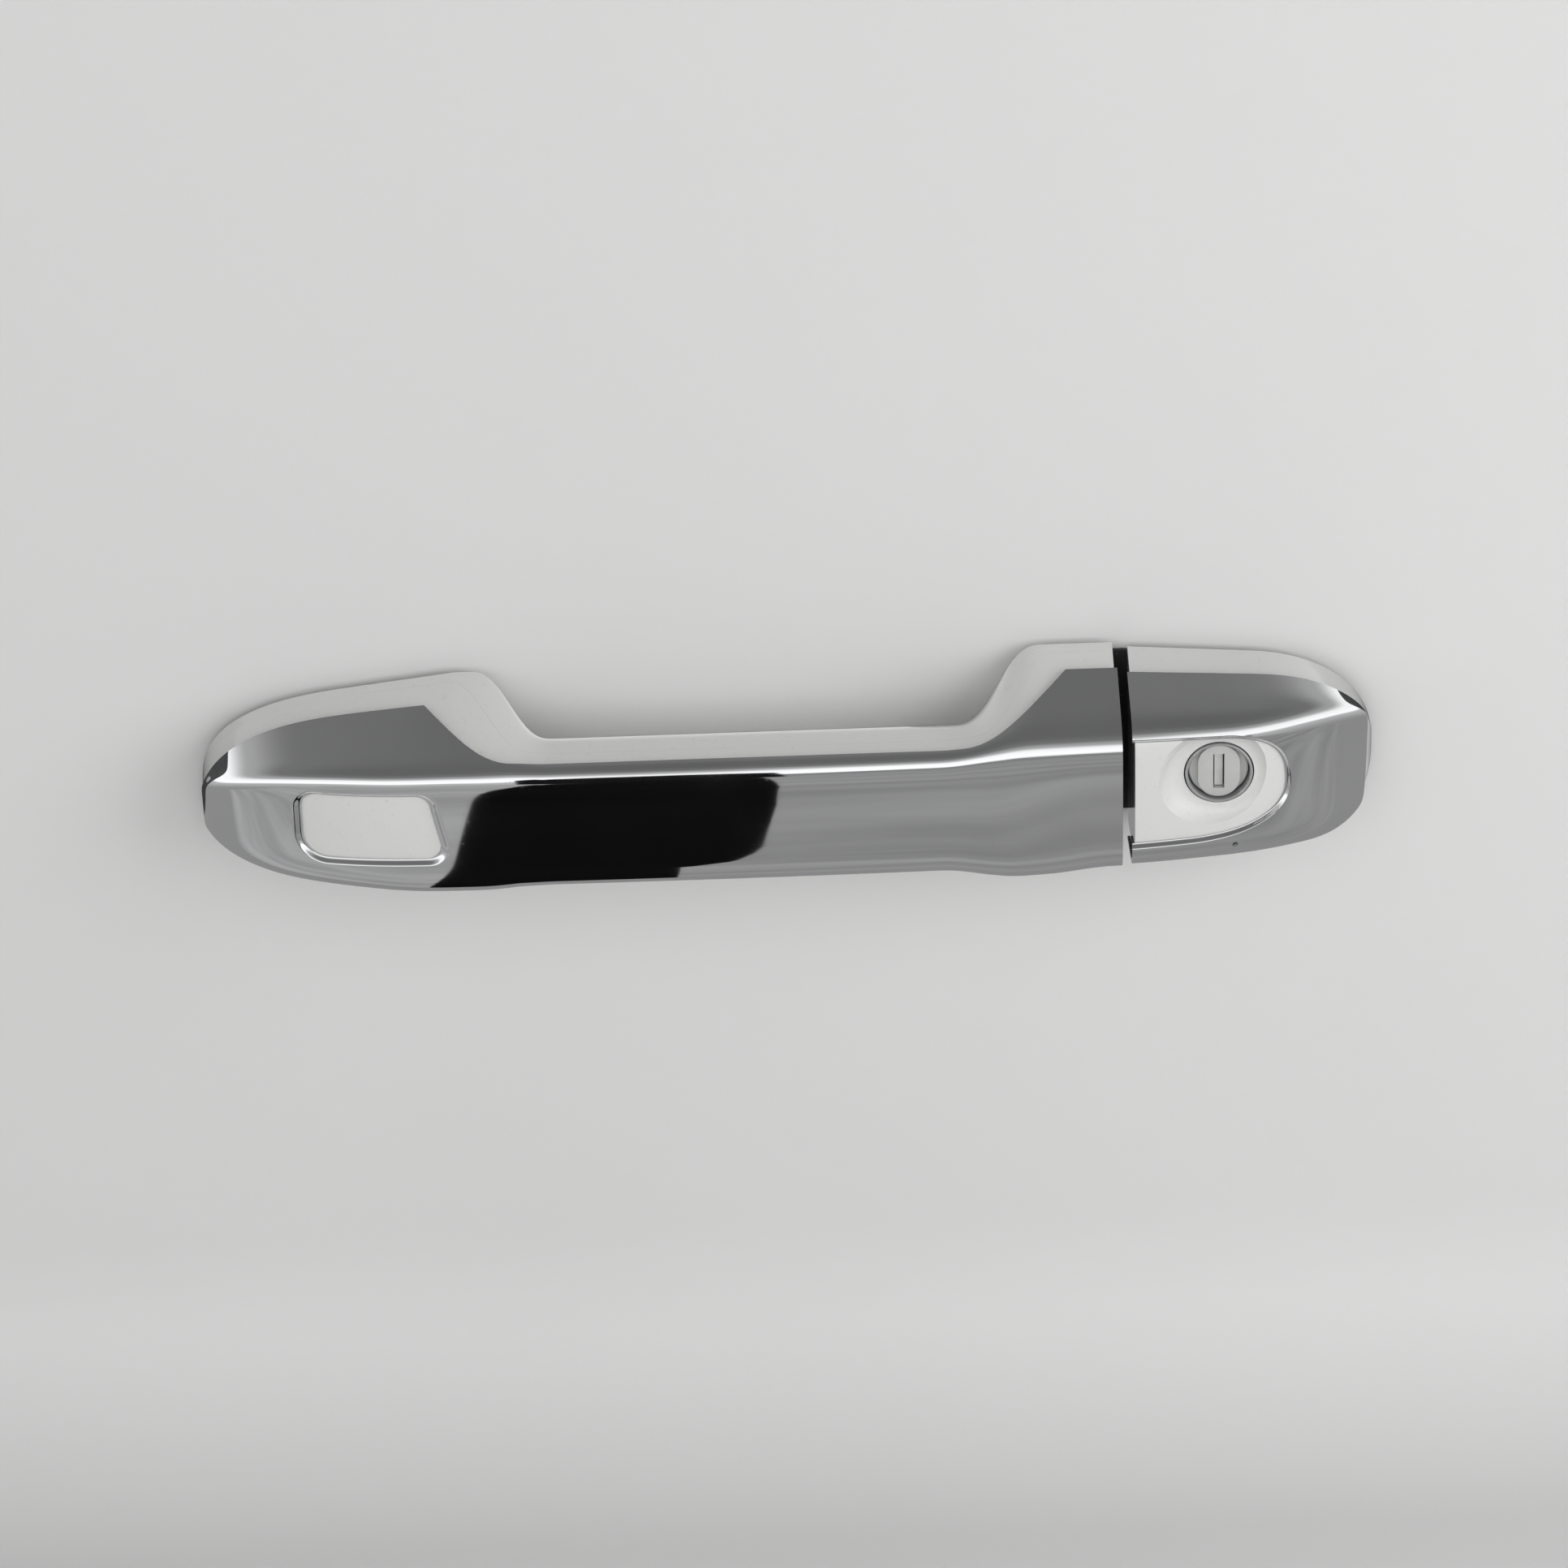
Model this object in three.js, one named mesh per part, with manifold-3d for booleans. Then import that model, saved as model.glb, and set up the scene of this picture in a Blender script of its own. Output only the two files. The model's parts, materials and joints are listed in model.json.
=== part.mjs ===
// Pull-strap door handle of a car's left side: chrome-covered grip, fixed end cap with key cylinder,
// and the carrier with its crank behind the door skin. Millimetres, +X to the car's rear, -Y outward, +Z up.
import * as THREE from 'three';
import { mergeVertices } from 'three/addons/utils/BufferGeometryUtils.js';
import Module from 'manifold-3d';

const wasm = await Module();
wasm.setup();

// ---- Driving dimensions ----
const gap = 0.3;

const gripTip = -193.5;
const gripEnd = -1.8;
const capStart = 0.2;
const capEnd = 52.2;
const noseSetBack = 0.3;
const rimY = -2.8;
const strapBackY = -14.5;

const coverRise = 1.2;
const coverSheet = 0.8;
const tapeLow = 0.06;
const tapeHigh = 0.32;
const lipGap = 0.12;
const shellWall = 2.2;
const endWall = 2.2;
const endInset = 0.6;

const skinY = -0.8;
const padSheet = 0.9;
const padInset = 1.7;
const plateThick = 3;
const landRise = 0.4;

const hinge = { x: -189, y: 9, radius: 2.5 };
const eyeRadius = 5;
const eyeHalf = 7;

const armLeft = -21.5;
const armRight = -12.5;
const armLow = 1;
const armHigh = 15;
const armEnd = 40;

const crankAxis = { y: 22, z: -22 };
const crankPinRadius = 2;
const fingerLength = 30;
const fingerLean = THREE.MathUtils.degToRad(25);
const fingerBarRadius = 2;
const rodPoint = { y: 19.9, z: -9.3 };
const weightPoint = { y: -6.8, z: -14.5 };

const keyAxis = { x: 18.4, z: 4.9 };
const keyHole = 7.3;
const housingRadius = 7;
const plugFaceRadius = 6.15;
const plugRadius = 5.2;
const ringFrontY = -24.8;
const lockFaceY = ringFrontY + 0.8;
const shutterAxisY = lockFaceY + 1.4;

// ---- Looks of the sub-parts ----
const finishes = {
  chrome: { color: 0xd9dadc, roughness: 0.06, metalness: 1 },
  paint: { color: 0xe9e9e7, roughness: 0.2, metalness: 0 },
  nylon: { color: 0x1f2022, roughness: 0.6, metalness: 0 },
  greyNylon: { color: 0x6e7072, roughness: 0.55, metalness: 0 },
  rubber: { color: 0x151516, roughness: 0.85, metalness: 0 },
  tape: { color: 0x8d1f1f, roughness: 0.7, metalness: 0 },
  steel: { color: 0xa9abae, roughness: 0.35, metalness: 1 },
  zinc: { color: 0x8f9194, roughness: 0.45, metalness: 1 },
  lockFace: { color: 0xbfc0c2, roughness: 0.25, metalness: 1 },
  whiteClip: { color: 0xd8d6cc, roughness: 0.5, metalness: 0 },
};

// ---- Small maths ----
const mix = (from, to, share) => from + (to - from) * share;

// Eased step from 0 at start to 1 at finish
function rise(value, start, finish) {
  return THREE.MathUtils.smootherstep(value, start, finish);
}

// Blunt rounded closing of a nose: 0 at the tip, 1 from reach onward
function roundEnd(distance, reach, fullness) {
  const left = 1 - THREE.MathUtils.clamp(distance / reach, 0, 1);
  return Math.pow(1 - Math.pow(left, fullness), 1 / fullness);
}

// ---- Solids ----
function solid(geometry) {
  const bare = geometry.clone();
  bare.deleteAttribute('normal');
  bare.deleteAttribute('uv');
  const merged = mergeVertices(bare, 1e-4);
  const corners = Array.from(merged.index.array);
  const kept = [];
  for (let i = 0; i < corners.length; i += 3) {
    const [a, b, c] = corners.slice(i, i + 3);
    if (a !== b && b !== c && c !== a) kept.push(a, b, c);
  }
  return new wasm.Manifold(new wasm.Mesh({
    numProp: 3,
    vertProperties: merged.attributes.position.array,
    triVerts: new Uint32Array(kept),
  }));
}

function toGeometry(body) {
  const cut = body.getMesh();
  const geometry = new THREE.BufferGeometry();
  geometry.setAttribute('position', new THREE.BufferAttribute(cut.vertProperties, 3));
  geometry.setIndex(new THREE.BufferAttribute(cut.triVerts, 1));
  geometry.computeVertexNormals();
  return geometry;
}

function addPiece(group, name, body, finish) {
  const mesh = new THREE.Mesh(toGeometry(body), new THREE.MeshStandardMaterial(finishes[finish]));
  mesh.name = name;
  group.add(mesh);
}

const joined = (...bodies) => bodies.reduce((sum, body) => sum.add(body));

function box(x, y, z) {
  const geometry = new THREE.BoxGeometry(x[1] - x[0], y[1] - y[0], z[1] - z[0]);
  geometry.translate((x[0] + x[1]) / 2, (y[0] + y[1]) / 2, (z[0] + z[1]) / 2);
  return solid(geometry);
}

// A cylinder or lathe stands along Y; these turn it to lie along the wanted axis
const axisTurns = {
  x: new THREE.Matrix4().makeRotationZ(-Math.PI / 2),
  y: new THREE.Matrix4(),
  z: new THREE.Matrix4().makeRotationX(Math.PI / 2),
};

function rod(axis, radius, from, to, centre, sides = 16) {
  const geometry = new THREE.CylinderGeometry(radius, radius, to - from, sides);
  geometry.translate(0, (from + to) / 2, 0);
  geometry.applyMatrix4(axisTurns[axis]);
  geometry.translate(...centre);
  return solid(geometry);
}

// Profile points are [radius, place along the axis], running outward and up
function turned(axis, profile, centre, sides = 18) {
  const points = profile.map(([radius, along]) => new THREE.Vector2(radius, along));
  const geometry = new THREE.LatheGeometry(points, sides);
  geometry.applyMatrix4(axisTurns[axis]);
  geometry.translate(...centre);
  return solid(geometry);
}

// An outline drawn in the plane across the axis, made thick along it
const outlineTurns = {
  x: new THREE.Matrix4().makeBasis(
    new THREE.Vector3(0, 1, 0), new THREE.Vector3(0, 0, 1), new THREE.Vector3(1, 0, 0)),
  y: new THREE.Matrix4().makeBasis(
    new THREE.Vector3(1, 0, 0), new THREE.Vector3(0, 0, 1), new THREE.Vector3(0, -1, 0)),
  z: new THREE.Matrix4(),
};

function plate(axis, shape, from, to, curveSegments = 8) {
  const geometry = new THREE.ExtrudeGeometry(shape, {
    depth: to - from, bevelEnabled: false, curveSegments,
  });
  geometry.translate(0, 0, axis === 'y' ? -to : from);
  geometry.applyMatrix4(outlineTurns[axis]);
  return solid(geometry);
}

function polygon(points) {
  return new THREE.Shape(points.map(([u, v]) => new THREE.Vector2(u, v)));
}

function roundedRectangle(u0, u1, v0, v1, radius) {
  const shape = new THREE.Shape();
  shape.moveTo(u0 + radius, v0);
  shape.lineTo(u1 - radius, v0);
  shape.absarc(u1 - radius, v0 + radius, radius, -Math.PI / 2, 0);
  shape.lineTo(u1, v1 - radius);
  shape.absarc(u1 - radius, v1 - radius, radius, 0, Math.PI / 2);
  shape.lineTo(u0 + radius, v1);
  shape.absarc(u0 + radius, v1 - radius, radius, Math.PI / 2, Math.PI);
  shape.lineTo(u0, v0 + radius);
  shape.absarc(u0 + radius, v0 + radius, radius, Math.PI, Math.PI * 1.5);
  return shape;
}

// A link with round ends between two points of its plane
function linkShape(u0, v0, r0, u1, v1, r1) {
  const way = Math.atan2(v1 - v0, u1 - u0);
  const length = Math.hypot(u1 - u0, v1 - v0);
  const tilt = Math.acos((r0 - r1) / length);
  const shape = new THREE.Shape();
  shape.absarc(u0, v0, r0, way + tilt, way - tilt + Math.PI * 2, false);
  shape.absarc(u1, v1, r1, way - tilt, way + tilt, false);
  return shape;
}

// Skin over a row of rings with equally many points, each end closed by a fan; the rings may run either way
function loft(rings) {
  const count = rings[0].length;
  const places = rings.flat();
  const index = [];
  for (let i = 0; i < rings.length - 1; i += 1) {
    for (let j = 0; j < count; j += 1) {
      const a = i * count + j;
      const b = i * count + ((j + 1) % count);
      index.push(a, a + count, b, b, a + count, b + count);
    }
  }
  for (const ring of [rings[0], rings[rings.length - 1]]) {
    const middle = new THREE.Vector3();
    ring.forEach((point) => middle.addScaledVector(point, 1 / count));
    places.push(middle);
  }
  const last = (rings.length - 1) * count;
  const middles = rings.length * count;
  for (let j = 0; j < count; j += 1) {
    const next = (j + 1) % count;
    index.push(middles, j, next);
    index.push(middles + 1, last + next, last + j);
  }
  const geometry = new THREE.BufferGeometry().setFromPoints(places);
  geometry.setIndex(index);
  const body = solid(geometry);
  if (body.volume() > 0) return body;
  geometry.setIndex([...index].reverse());
  return solid(geometry);
}

// ---- Outer form shared by grip and cap ----
// A section is four corners in the (y, z) plane. Each corner is eased by a curve whose bend starts
// from nothing, and the face between low edge and crease is slightly crowned.
const faceCrown = 0.8;
const crownReach = 6;

function bulge(guide, y, z) {
  const low = guide.lowZ - crownReach;
  const span = guide.creaseZ + crownReach - low;
  const share = THREE.MathUtils.clamp((z - low) / span, 0, 1);
  const depth = THREE.MathUtils.clamp((y - guide.backY) / (guide.faceY - guide.backY), 0, 1);
  return faceCrown * guide.crown * 4 * share * (1 - share) * depth * depth;
}

function sectionRing(guide, x, cornerSteps) {
  const corners = [
    [guide.backY, guide.backLowZ, guide.backReach],
    [guide.lowY, guide.lowZ, guide.lowReach],
    [guide.faceY, guide.creaseZ, guide.creaseReach],
    [guide.backY, guide.backTopZ, guide.backReach],
  ];
  const ring = [];
  corners.forEach(([y, z, reach], i) => {
    const corner = new THREE.Vector2(y, z);
    const before = new THREE.Vector2(...corners[(i + 3) % 4].slice(0, 2));
    const after = new THREE.Vector2(...corners[(i + 1) % 4].slice(0, 2));
    const cameFrom = corner.distanceTo(before);
    const goesTo = corner.distanceTo(after);
    const start = corner.clone().lerp(before, Math.min(0.48, reach / cameFrom));
    const end = corner.clone().lerp(after, Math.min(0.48, reach / goesTo));
    const bend = new THREE.CubicBezierCurve(start, corner, corner, end);
    for (let step = 0; step <= cornerSteps; step += 1) {
      const point = bend.getPoint(step / cornerSteps);
      ring.push(new THREE.Vector3(x, point.x - bulge(guide, point.x, point.y), point.y));
    }
  });
  return ring;
}

// Depth of the form's outer face at height z
function faceAt(guide, z) {
  const ring = sectionRing(guide, 0, 8);
  let front = guide.backY;
  ring.forEach((point, i) => {
    const next = ring[(i + 1) % ring.length];
    if ((point.z - z) * (next.z - z) > 0 || point.z === next.z) return;
    front = Math.min(front, mix(point.y, next.y, (z - point.z) / (next.z - point.z)));
  });
  return front;
}

// ---- Grip form ----
const noseZ = -4;

// Guide values of the grip at s mm behind its tip; grow is the offset outside the painted body
function gripGuide(s, grow) {
  const inside = s - noseSetBack + grow;
  const depthClose = roundEnd(inside, 49, 2.35);
  const creaseClose = roundEnd(inside, 38, 2.25);
  const lowClose = roundEnd(inside, 34, 2.1);
  const rimClose = roundEnd(inside, 33, 2.9);
  const waist = rise(s, 57.5, 74) - rise(s, 156.5, 176);
  const rear = rise(s, 152.5, 172.5);
  const bow = 1 - ((s - 105) / 105) ** 2;
  const faceDepth = (25 + 2 * bow + grow) * depthClose;
  const creaseHeight = mix(mix(16.7, 17.3, rise(s, 56, 74)), 19.4, rear);
  const lowFront = 8.8 + 1.8 * rise(s, 20, 54);
  const lowRear = 12 - 1.1 * rise(s, 174, 192);
  const lowDepth = mix(mix(lowFront, 9.6, rise(s, 56, 76)), lowRear, rear);
  const frontTop = 19.8 + 0.126 * Math.min(s, 54);
  const topHeight = mix(mix(frontTop, 18, rise(s, 57, 75)), 28.5, rise(s, 158, 177));
  const backDepth = mix(mix(13, 9.4, rise(s, 57, 75)), 14.5, rear);
  return {
    backY: mix(rimY, strapBackY, waist),
    faceY: rimY - faceDepth,
    lowY: rimY - faceDepth * mix(0.97, 0.94, rise(s, 160, 190)),
    creaseZ: noseZ + (creaseHeight + grow) * creaseClose,
    lowZ: noseZ - (lowDepth + grow) * lowClose,
    backTopZ: noseZ + (topHeight + grow) * rimClose,
    backLowZ: noseZ - (backDepth + grow) * rimClose,
    creaseReach: Math.max(0.2, mix(mix(5, 7, rise(s, 50, 80)), 10, rear) + grow) * creaseClose,
    lowReach: Math.max(0.2, 8.5 + grow) * lowClose,
    backReach: mix(0.6, 7, waist) * rimClose,
    crown: depthClose,
  };
}

const gripStations = [0.25, 1.2, 3, 6.5, 11.5, 18, 26, 36, 47, 57, 61.5, 65.5, 70, 76, 90, 115, 140,
  154, 161, 166.5, 171.5, 178];

function gripLoft(grow, end, cornerSteps = 3) {
  const first = noseSetBack - grow;
  const length = end - gripTip;
  const stations = [...gripStations.filter((s) => s + first < length - 2).map((s) => s + first), length];
  return loft(stations.map((s) => sectionRing(gripGuide(s, grow), gripTip + s, cornerSteps)));
}

// Everything inward of a line y(x), through the whole height; the line is straight outside its two bends
const bendSteps = 7;

function inwardOf(yOfX, frontBend, rearBend) {
  const points = [[gripEnd + 6, 60], [gripTip - 6, 60], [gripTip - 6, yOfX(gripTip)]];
  for (const [start, finish] of [frontBend, rearBend]) {
    for (let i = 0; i <= bendSteps; i += 1) {
      const x = gripTip + mix(start, finish, i / bendSteps);
      points.push([x, yOfX(x)]);
    }
  }
  points.push([gripEnd + 6, yOfX(gripEnd)]);
  return plate('z', polygon(points), -40, 40);
}

// Parting of the grip's two shells: just outside the rim at the lobes, deep behind the face in the strap
const partingBends = [[52, 70], [162, 180]];

function partingY(x) {
  const s = x - gripTip;
  const waist = rise(s, ...partingBends[0]) - rise(s, ...partingBends[1]);
  return mix(rimY - 2.4, -22.5, waist);
}

function behindParting(clearance) {
  return inwardOf((x) => partingY(x) + clearance, ...partingBends);
}

// Free edge of the chrome cover: a band of painted body stays open along the door, and the edge sweeps
// forward to the crease where the strap begins
const coverEdgeFront = -11.8;
const coverEdgeStrap = -28;
const coverEdgeRear = -11;
const coverEdgeCap = -12;
const frontSweep = [48, 66];
const rearSweep = [160, 181];

function coverEdgeY(x) {
  const s = x - gripTip;
  const front = THREE.MathUtils.clamp((s - frontSweep[0]) / (frontSweep[1] - frontSweep[0]), 0, 1);
  const rear = THREE.MathUtils.clamp((rearSweep[1] - s) / (rearSweep[1] - rearSweep[0]), 0, 1);
  if (rear < 1) return mix(coverEdgeRear, coverEdgeStrap, Math.sin((rear * Math.PI) / 2));
  return mix(coverEdgeFront, coverEdgeStrap, Math.sin((front * Math.PI) / 2));
}

// ---- Window in the cover for the touch sensor ----
const windowCentre = { x: -157.4, z: 1.2 };
const windowOuter = { halfX: 15.9, halfZ: 8.9, radius: 4.5 };
const windowInner = { halfX: 13.9, halfZ: 7.6, radius: 3.2 };

// Rounded outline of the window; its rear side leans and its lower front corner is rounder
function windowRing(size, spread, lift) {
  const halfX = size.halfX + spread;
  const halfZ = size.halfZ + spread;
  const ring = [];
  const arcSteps = 4;
  const quarters = [
    { sx: 1, sz: -1, radius: size.radius, lean: 0.8 },
    { sx: 1, sz: 1, radius: size.radius, lean: -1 },
    { sx: -1, sz: 1, radius: size.radius, lean: 0 },
    { sx: -1, sz: -1, radius: size.radius * 1.6, lean: 0 },
  ];
  quarters.forEach(({ sx, sz, radius, lean }, quarter) => {
    for (let step = 0; step <= arcSteps; step += 1) {
      const angle = ((quarter - 1) + step / arcSteps) * (Math.PI / 2);
      const x = windowCentre.x + sx * (halfX - radius) + lean + radius * Math.cos(angle);
      const z = windowCentre.z + sz * (halfZ - radius) + radius * Math.sin(angle);
      ring.push(new THREE.Vector3(x, faceAt(gripGuide(x - gripTip, coverRise), z) + lift, z));
    }
  });
  return ring;
}

function windowSolid(levels) {
  return loft(levels.map(([size, spread, lift]) => windowRing(size, spread, lift)));
}

// ---- Grip pieces ----
const shellScrews = [-122, -34];

function gripCover() {
  const sheet = gripLoft(coverRise, gripEnd).subtract(gripLoft(coverRise - coverSheet, gripEnd + 4));
  const free = sheet.subtract(inwardOf(coverEdgeY, frontSweep, rearSweep));
  const lipBlock = windowSolid([[windowOuter, 1.2, 1.3], [windowOuter, 1.2, 0.4]])
    .subtract(gripLoft(lipGap, gripEnd));
  const funnel = windowSolid([[windowInner, 0, 4], [windowInner, 0, 1.0], [windowOuter, 0, -0.02],
    [windowOuter, 1.2, -3]]);
  return free.add(lipBlock).subtract(funnel);
}

function coverTape(fromX, toX) {
  const layer = gripLoft(tapeHigh, gripEnd).subtract(gripLoft(tapeLow, gripEnd + 4));
  return layer.intersect(box([fromX, toX], [-40, -22], [-9, 9]));
}

function shellBoss(x) {
  return rod('y', 3.4, -29, partingY(x) - 0.1, [x, 0, 0], 16);
}

function gripOuterShell() {
  const outside = gripLoft(0, gripEnd - endInset);
  const inside = gripLoft(-shellWall, gripEnd - endInset - endWall);
  let shell = outside.subtract(inside).subtract(behindParting(-0.1));
  for (const x of shellScrews) {
    shell = shell.add(shellBoss(x).intersect(outside));
    shell = shell.subtract(rod('y', 1.5, -28.2, -20, [x, 0, 0], 12));
  }
  return shell;
}

function hookArm() {
  const arm = polygon([[-158, rimY - 2.2], [-158, 3], [-161, 12], [-188, hinge.y + 4.4],
    [-188, hinge.y - 4.2], [-176, 6], [-174, rimY - 2.2]]);
  return joined(
    plate('z', arm, -eyeHalf, eyeHalf),
    rod('z', eyeRadius, -eyeHalf, eyeHalf, [hinge.x, hinge.y, 0]),
  ).subtract(rod('z', hinge.radius + gap, -20, 20, [hinge.x, hinge.y, 0]));
}

function pullArm() {
  const blade = box([armLeft, armRight], [-14, armEnd], [armLow, armHigh]);
  const fingerY = crankAxis.y + fingerLength * Math.sin(fingerLean);
  const notch = box([armLeft - 1, armRight + 1], [fingerY - 3.9, fingerY + 3.6], [armLow - 1, 11.6]);
  const lead = plate('x', polygon([[10, armLow - 1], [fingerY - 3.8, armLow - 1], [fingerY - 3.8, 7], [16, armLow + 2]]),
    armLeft - 1, armRight + 1);
  return blade.subtract(notch).subtract(lead);
}

function gripInnerShell() {
  const outside = gripLoft(0, gripEnd - endInset);
  const body = outside.intersect(behindParting(0.15));
  const floorBends = [[62, 78], [153, 169]];
  const floorY = (x) => mix(rimY - 3, strapBackY - 2,
    rise(x - gripTip, ...floorBends[0]) - rise(x - gripTip, ...floorBends[1]));
  const pocket = gripLoft(-shellWall, gripEnd - endInset - endWall).subtract(inwardOf(floorY, ...floorBends));
  let shell = body.subtract(pocket);
  for (const x of shellScrews) {
    shell = shell.add(rod('y', 4.6, partingY(x) + 0.15, strapBackY - 0.6, [x, 0, 0], 16));
  }
  shell = joined(shell, hookArm(), pullArm());
  for (const x of shellScrews) {
    shell = shell.subtract(rod('y', 1.9, -26, -10, [x, 0, 0], 12));
    shell = shell.subtract(rod('y', 3.5, strapBackY - 3, -10, [x, 0, 0], 16));
  }
  return shell;
}

function shellScrew(x) {
  const seat = strapBackY - 2.9;
  const profile = [[0, -25.5], [1.2, -25.5], [1.2, seat], [2.9, seat], [2.9, seat + 1.6], [2.4, seat + 2.1], [0, seat + 2.1]];
  const slot = box([x - 1.6, x + 1.6], [seat + 1.1, seat + 4], [-0.35, 0.35]);
  return turned('y', profile, [x, 0, 0], 14).subtract(slot);
}

function touchSensor() {
  const board = box([-174, -146], [-17, -15.4], [-6.5, 6.5]);
  const can = box([-168, -152], [-15.4, -12.4], [-4.5, 4.5]);
  return board.add(can);
}

function antennaBar() {
  return plate('x', roundedRectangle(-24.8, -19.6, -5, 5, 1.2), -112, -54, 3);
}

// ---- Cap form ----
const capNoseZ = -1;

function capGuide(x, grow) {
  const inside = capEnd - noseSetBack + grow - x;
  const depthClose = roundEnd(inside, 34.5, 2);
  const heightClose = roundEnd(inside, 26, 2.3);
  const creaseClose = roundEnd(inside, 26, 2.7);
  const lowClose = roundEnd(inside, 15.6, 2.36);
  const along = x - capStart;
  const faceDepth = (25.8 - 0.08 * along + grow) * depthClose;
  return {
    backY: rimY,
    faceY: rimY - faceDepth,
    lowY: rimY - faceDepth * mix(0.94, 0.9, rise(along, 0, 30)),
    creaseZ: capNoseZ + (18 + grow) * creaseClose,
    lowZ: capNoseZ - (13.4 + grow) * lowClose,
    backTopZ: capNoseZ + (24.4 - 0.078 * along + grow) * heightClose,
    backLowZ: capNoseZ - (17.4 + grow) * lowClose,
    creaseReach: (10 + grow) * heightClose,
    lowReach: (8.5 + grow) * lowClose,
    backReach: 0.6 * heightClose,
    crown: depthClose,
  };
}

const capStations = [0.25, 0.9, 2.2, 4.5, 8, 12.5, 18, 25, 34];

function capLoft(grow, start, cornerSteps = 3) {
  const nose = capEnd - noseSetBack + grow;
  const stations = capStations.map((d) => nose - d).filter((x) => x > start + 2).reverse();
  return loft([start, ...stations].map((x) => sectionRing(capGuide(x, grow), x, cornerSteps)));
}

// U-shaped opening of the cap cover, open towards the grip
const openingTop = 15.2;
const openingLow = -9.5;
const openingDepth = 32.4;

function openingShape(spread) {
  const top = openingTop + spread;
  const low = openingLow - spread;
  const end = openingDepth + spread;
  const shape = new THREE.Shape();
  shape.moveTo(-6, low);
  shape.lineTo(13, low + 0.3);
  shape.bezierCurveTo(25, low + 0.8, end, -5, end, 2);
  shape.bezierCurveTo(end, 9.5, 29.5 + spread, top - 1.6, 20, top - 0.7);
  shape.lineTo(-6, top);
  return shape;
}

function openingRing(spread, lift) {
  const points = openingShape(spread).getPoints(7);
  return points.map(({ x, y: z }) => {
    const guide = capGuide(Math.max(x, capStart), coverRise);
    return new THREE.Vector3(x, faceAt(guide, z) + lift, z);
  });
}

// The opening's edge dips into the cap by a narrow bevel
const bevelWidth = 1.2;
const drainHole = { x: 21.7, z: -11.6, radius: 0.6 };

function capCover() {
  const sheet = capLoft(coverRise, capStart).subtract(capLoft(coverRise - coverSheet, capStart - 4));
  const free = sheet.subtract(box([-5, 60], [coverEdgeCap, 10], [-40, 40]));
  const rib = loft([openingRing(bevelWidth + 0.4, 1.3), openingRing(bevelWidth + 0.4, 0.45)])
    .intersect(box([capStart, 60], [-60, 0], [-30, 30]))
    .subtract(capLoft(lipGap, capStart - 2));
  const funnel = loft([openingRing(0, 12), openingRing(0, 1.0), openingRing(bevelWidth, -0.02),
    openingRing(bevelWidth + 0.9, -4)]);
  const drain = rod('y', drainHole.radius, -40, -10, [drainHole.x, 0, drainHole.z], 10);
  return free.add(rib).subtract(funnel).subtract(drain);
}

function capBody() {
  const start = capStart + endInset;
  const outside = capLoft(0, start);
  const inside = capLoft(-shellWall, start + endWall);
  const below = box([start + endWall, 60], [rimY - 1, 4], [-40, 40]).intersect(capLoft(-shellWall, start + endWall, 3));
  const socket = rod('y', keyHole + 1.8, -26, rimY - 4, [keyAxis.x, 0, keyAxis.z]).intersect(outside);
  const dish = turned('y', [[0, -40], [9.8 + 6, -40], [9.8, -26.4], [7.4, -24.4], [0, -24.4]],
    [keyAxis.x, 0, keyAxis.z], 28);
  const hole = rod('y', keyHole, -40, 5, [keyAxis.x, 0, keyAxis.z], 28);
  return outside.subtract(inside).subtract(below).add(socket).subtract(dish).subtract(hole);
}

function capTape() {
  const layer = capLoft(tapeHigh, capStart + endInset).subtract(capLoft(tapeLow, capStart - 4));
  return layer.intersect(box([35.5, 44], [-40, -12], [-7, 8]));
}

// ---- Carrier behind the door skin ----
function boltBoss(x, z) {
  return rod('y', 6.5, 0, 7, [x, 0, z], 20);
}

const frameBolts = [{ x: -207, z: 2 }, { x: 58.5, z: 2 }];

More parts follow.
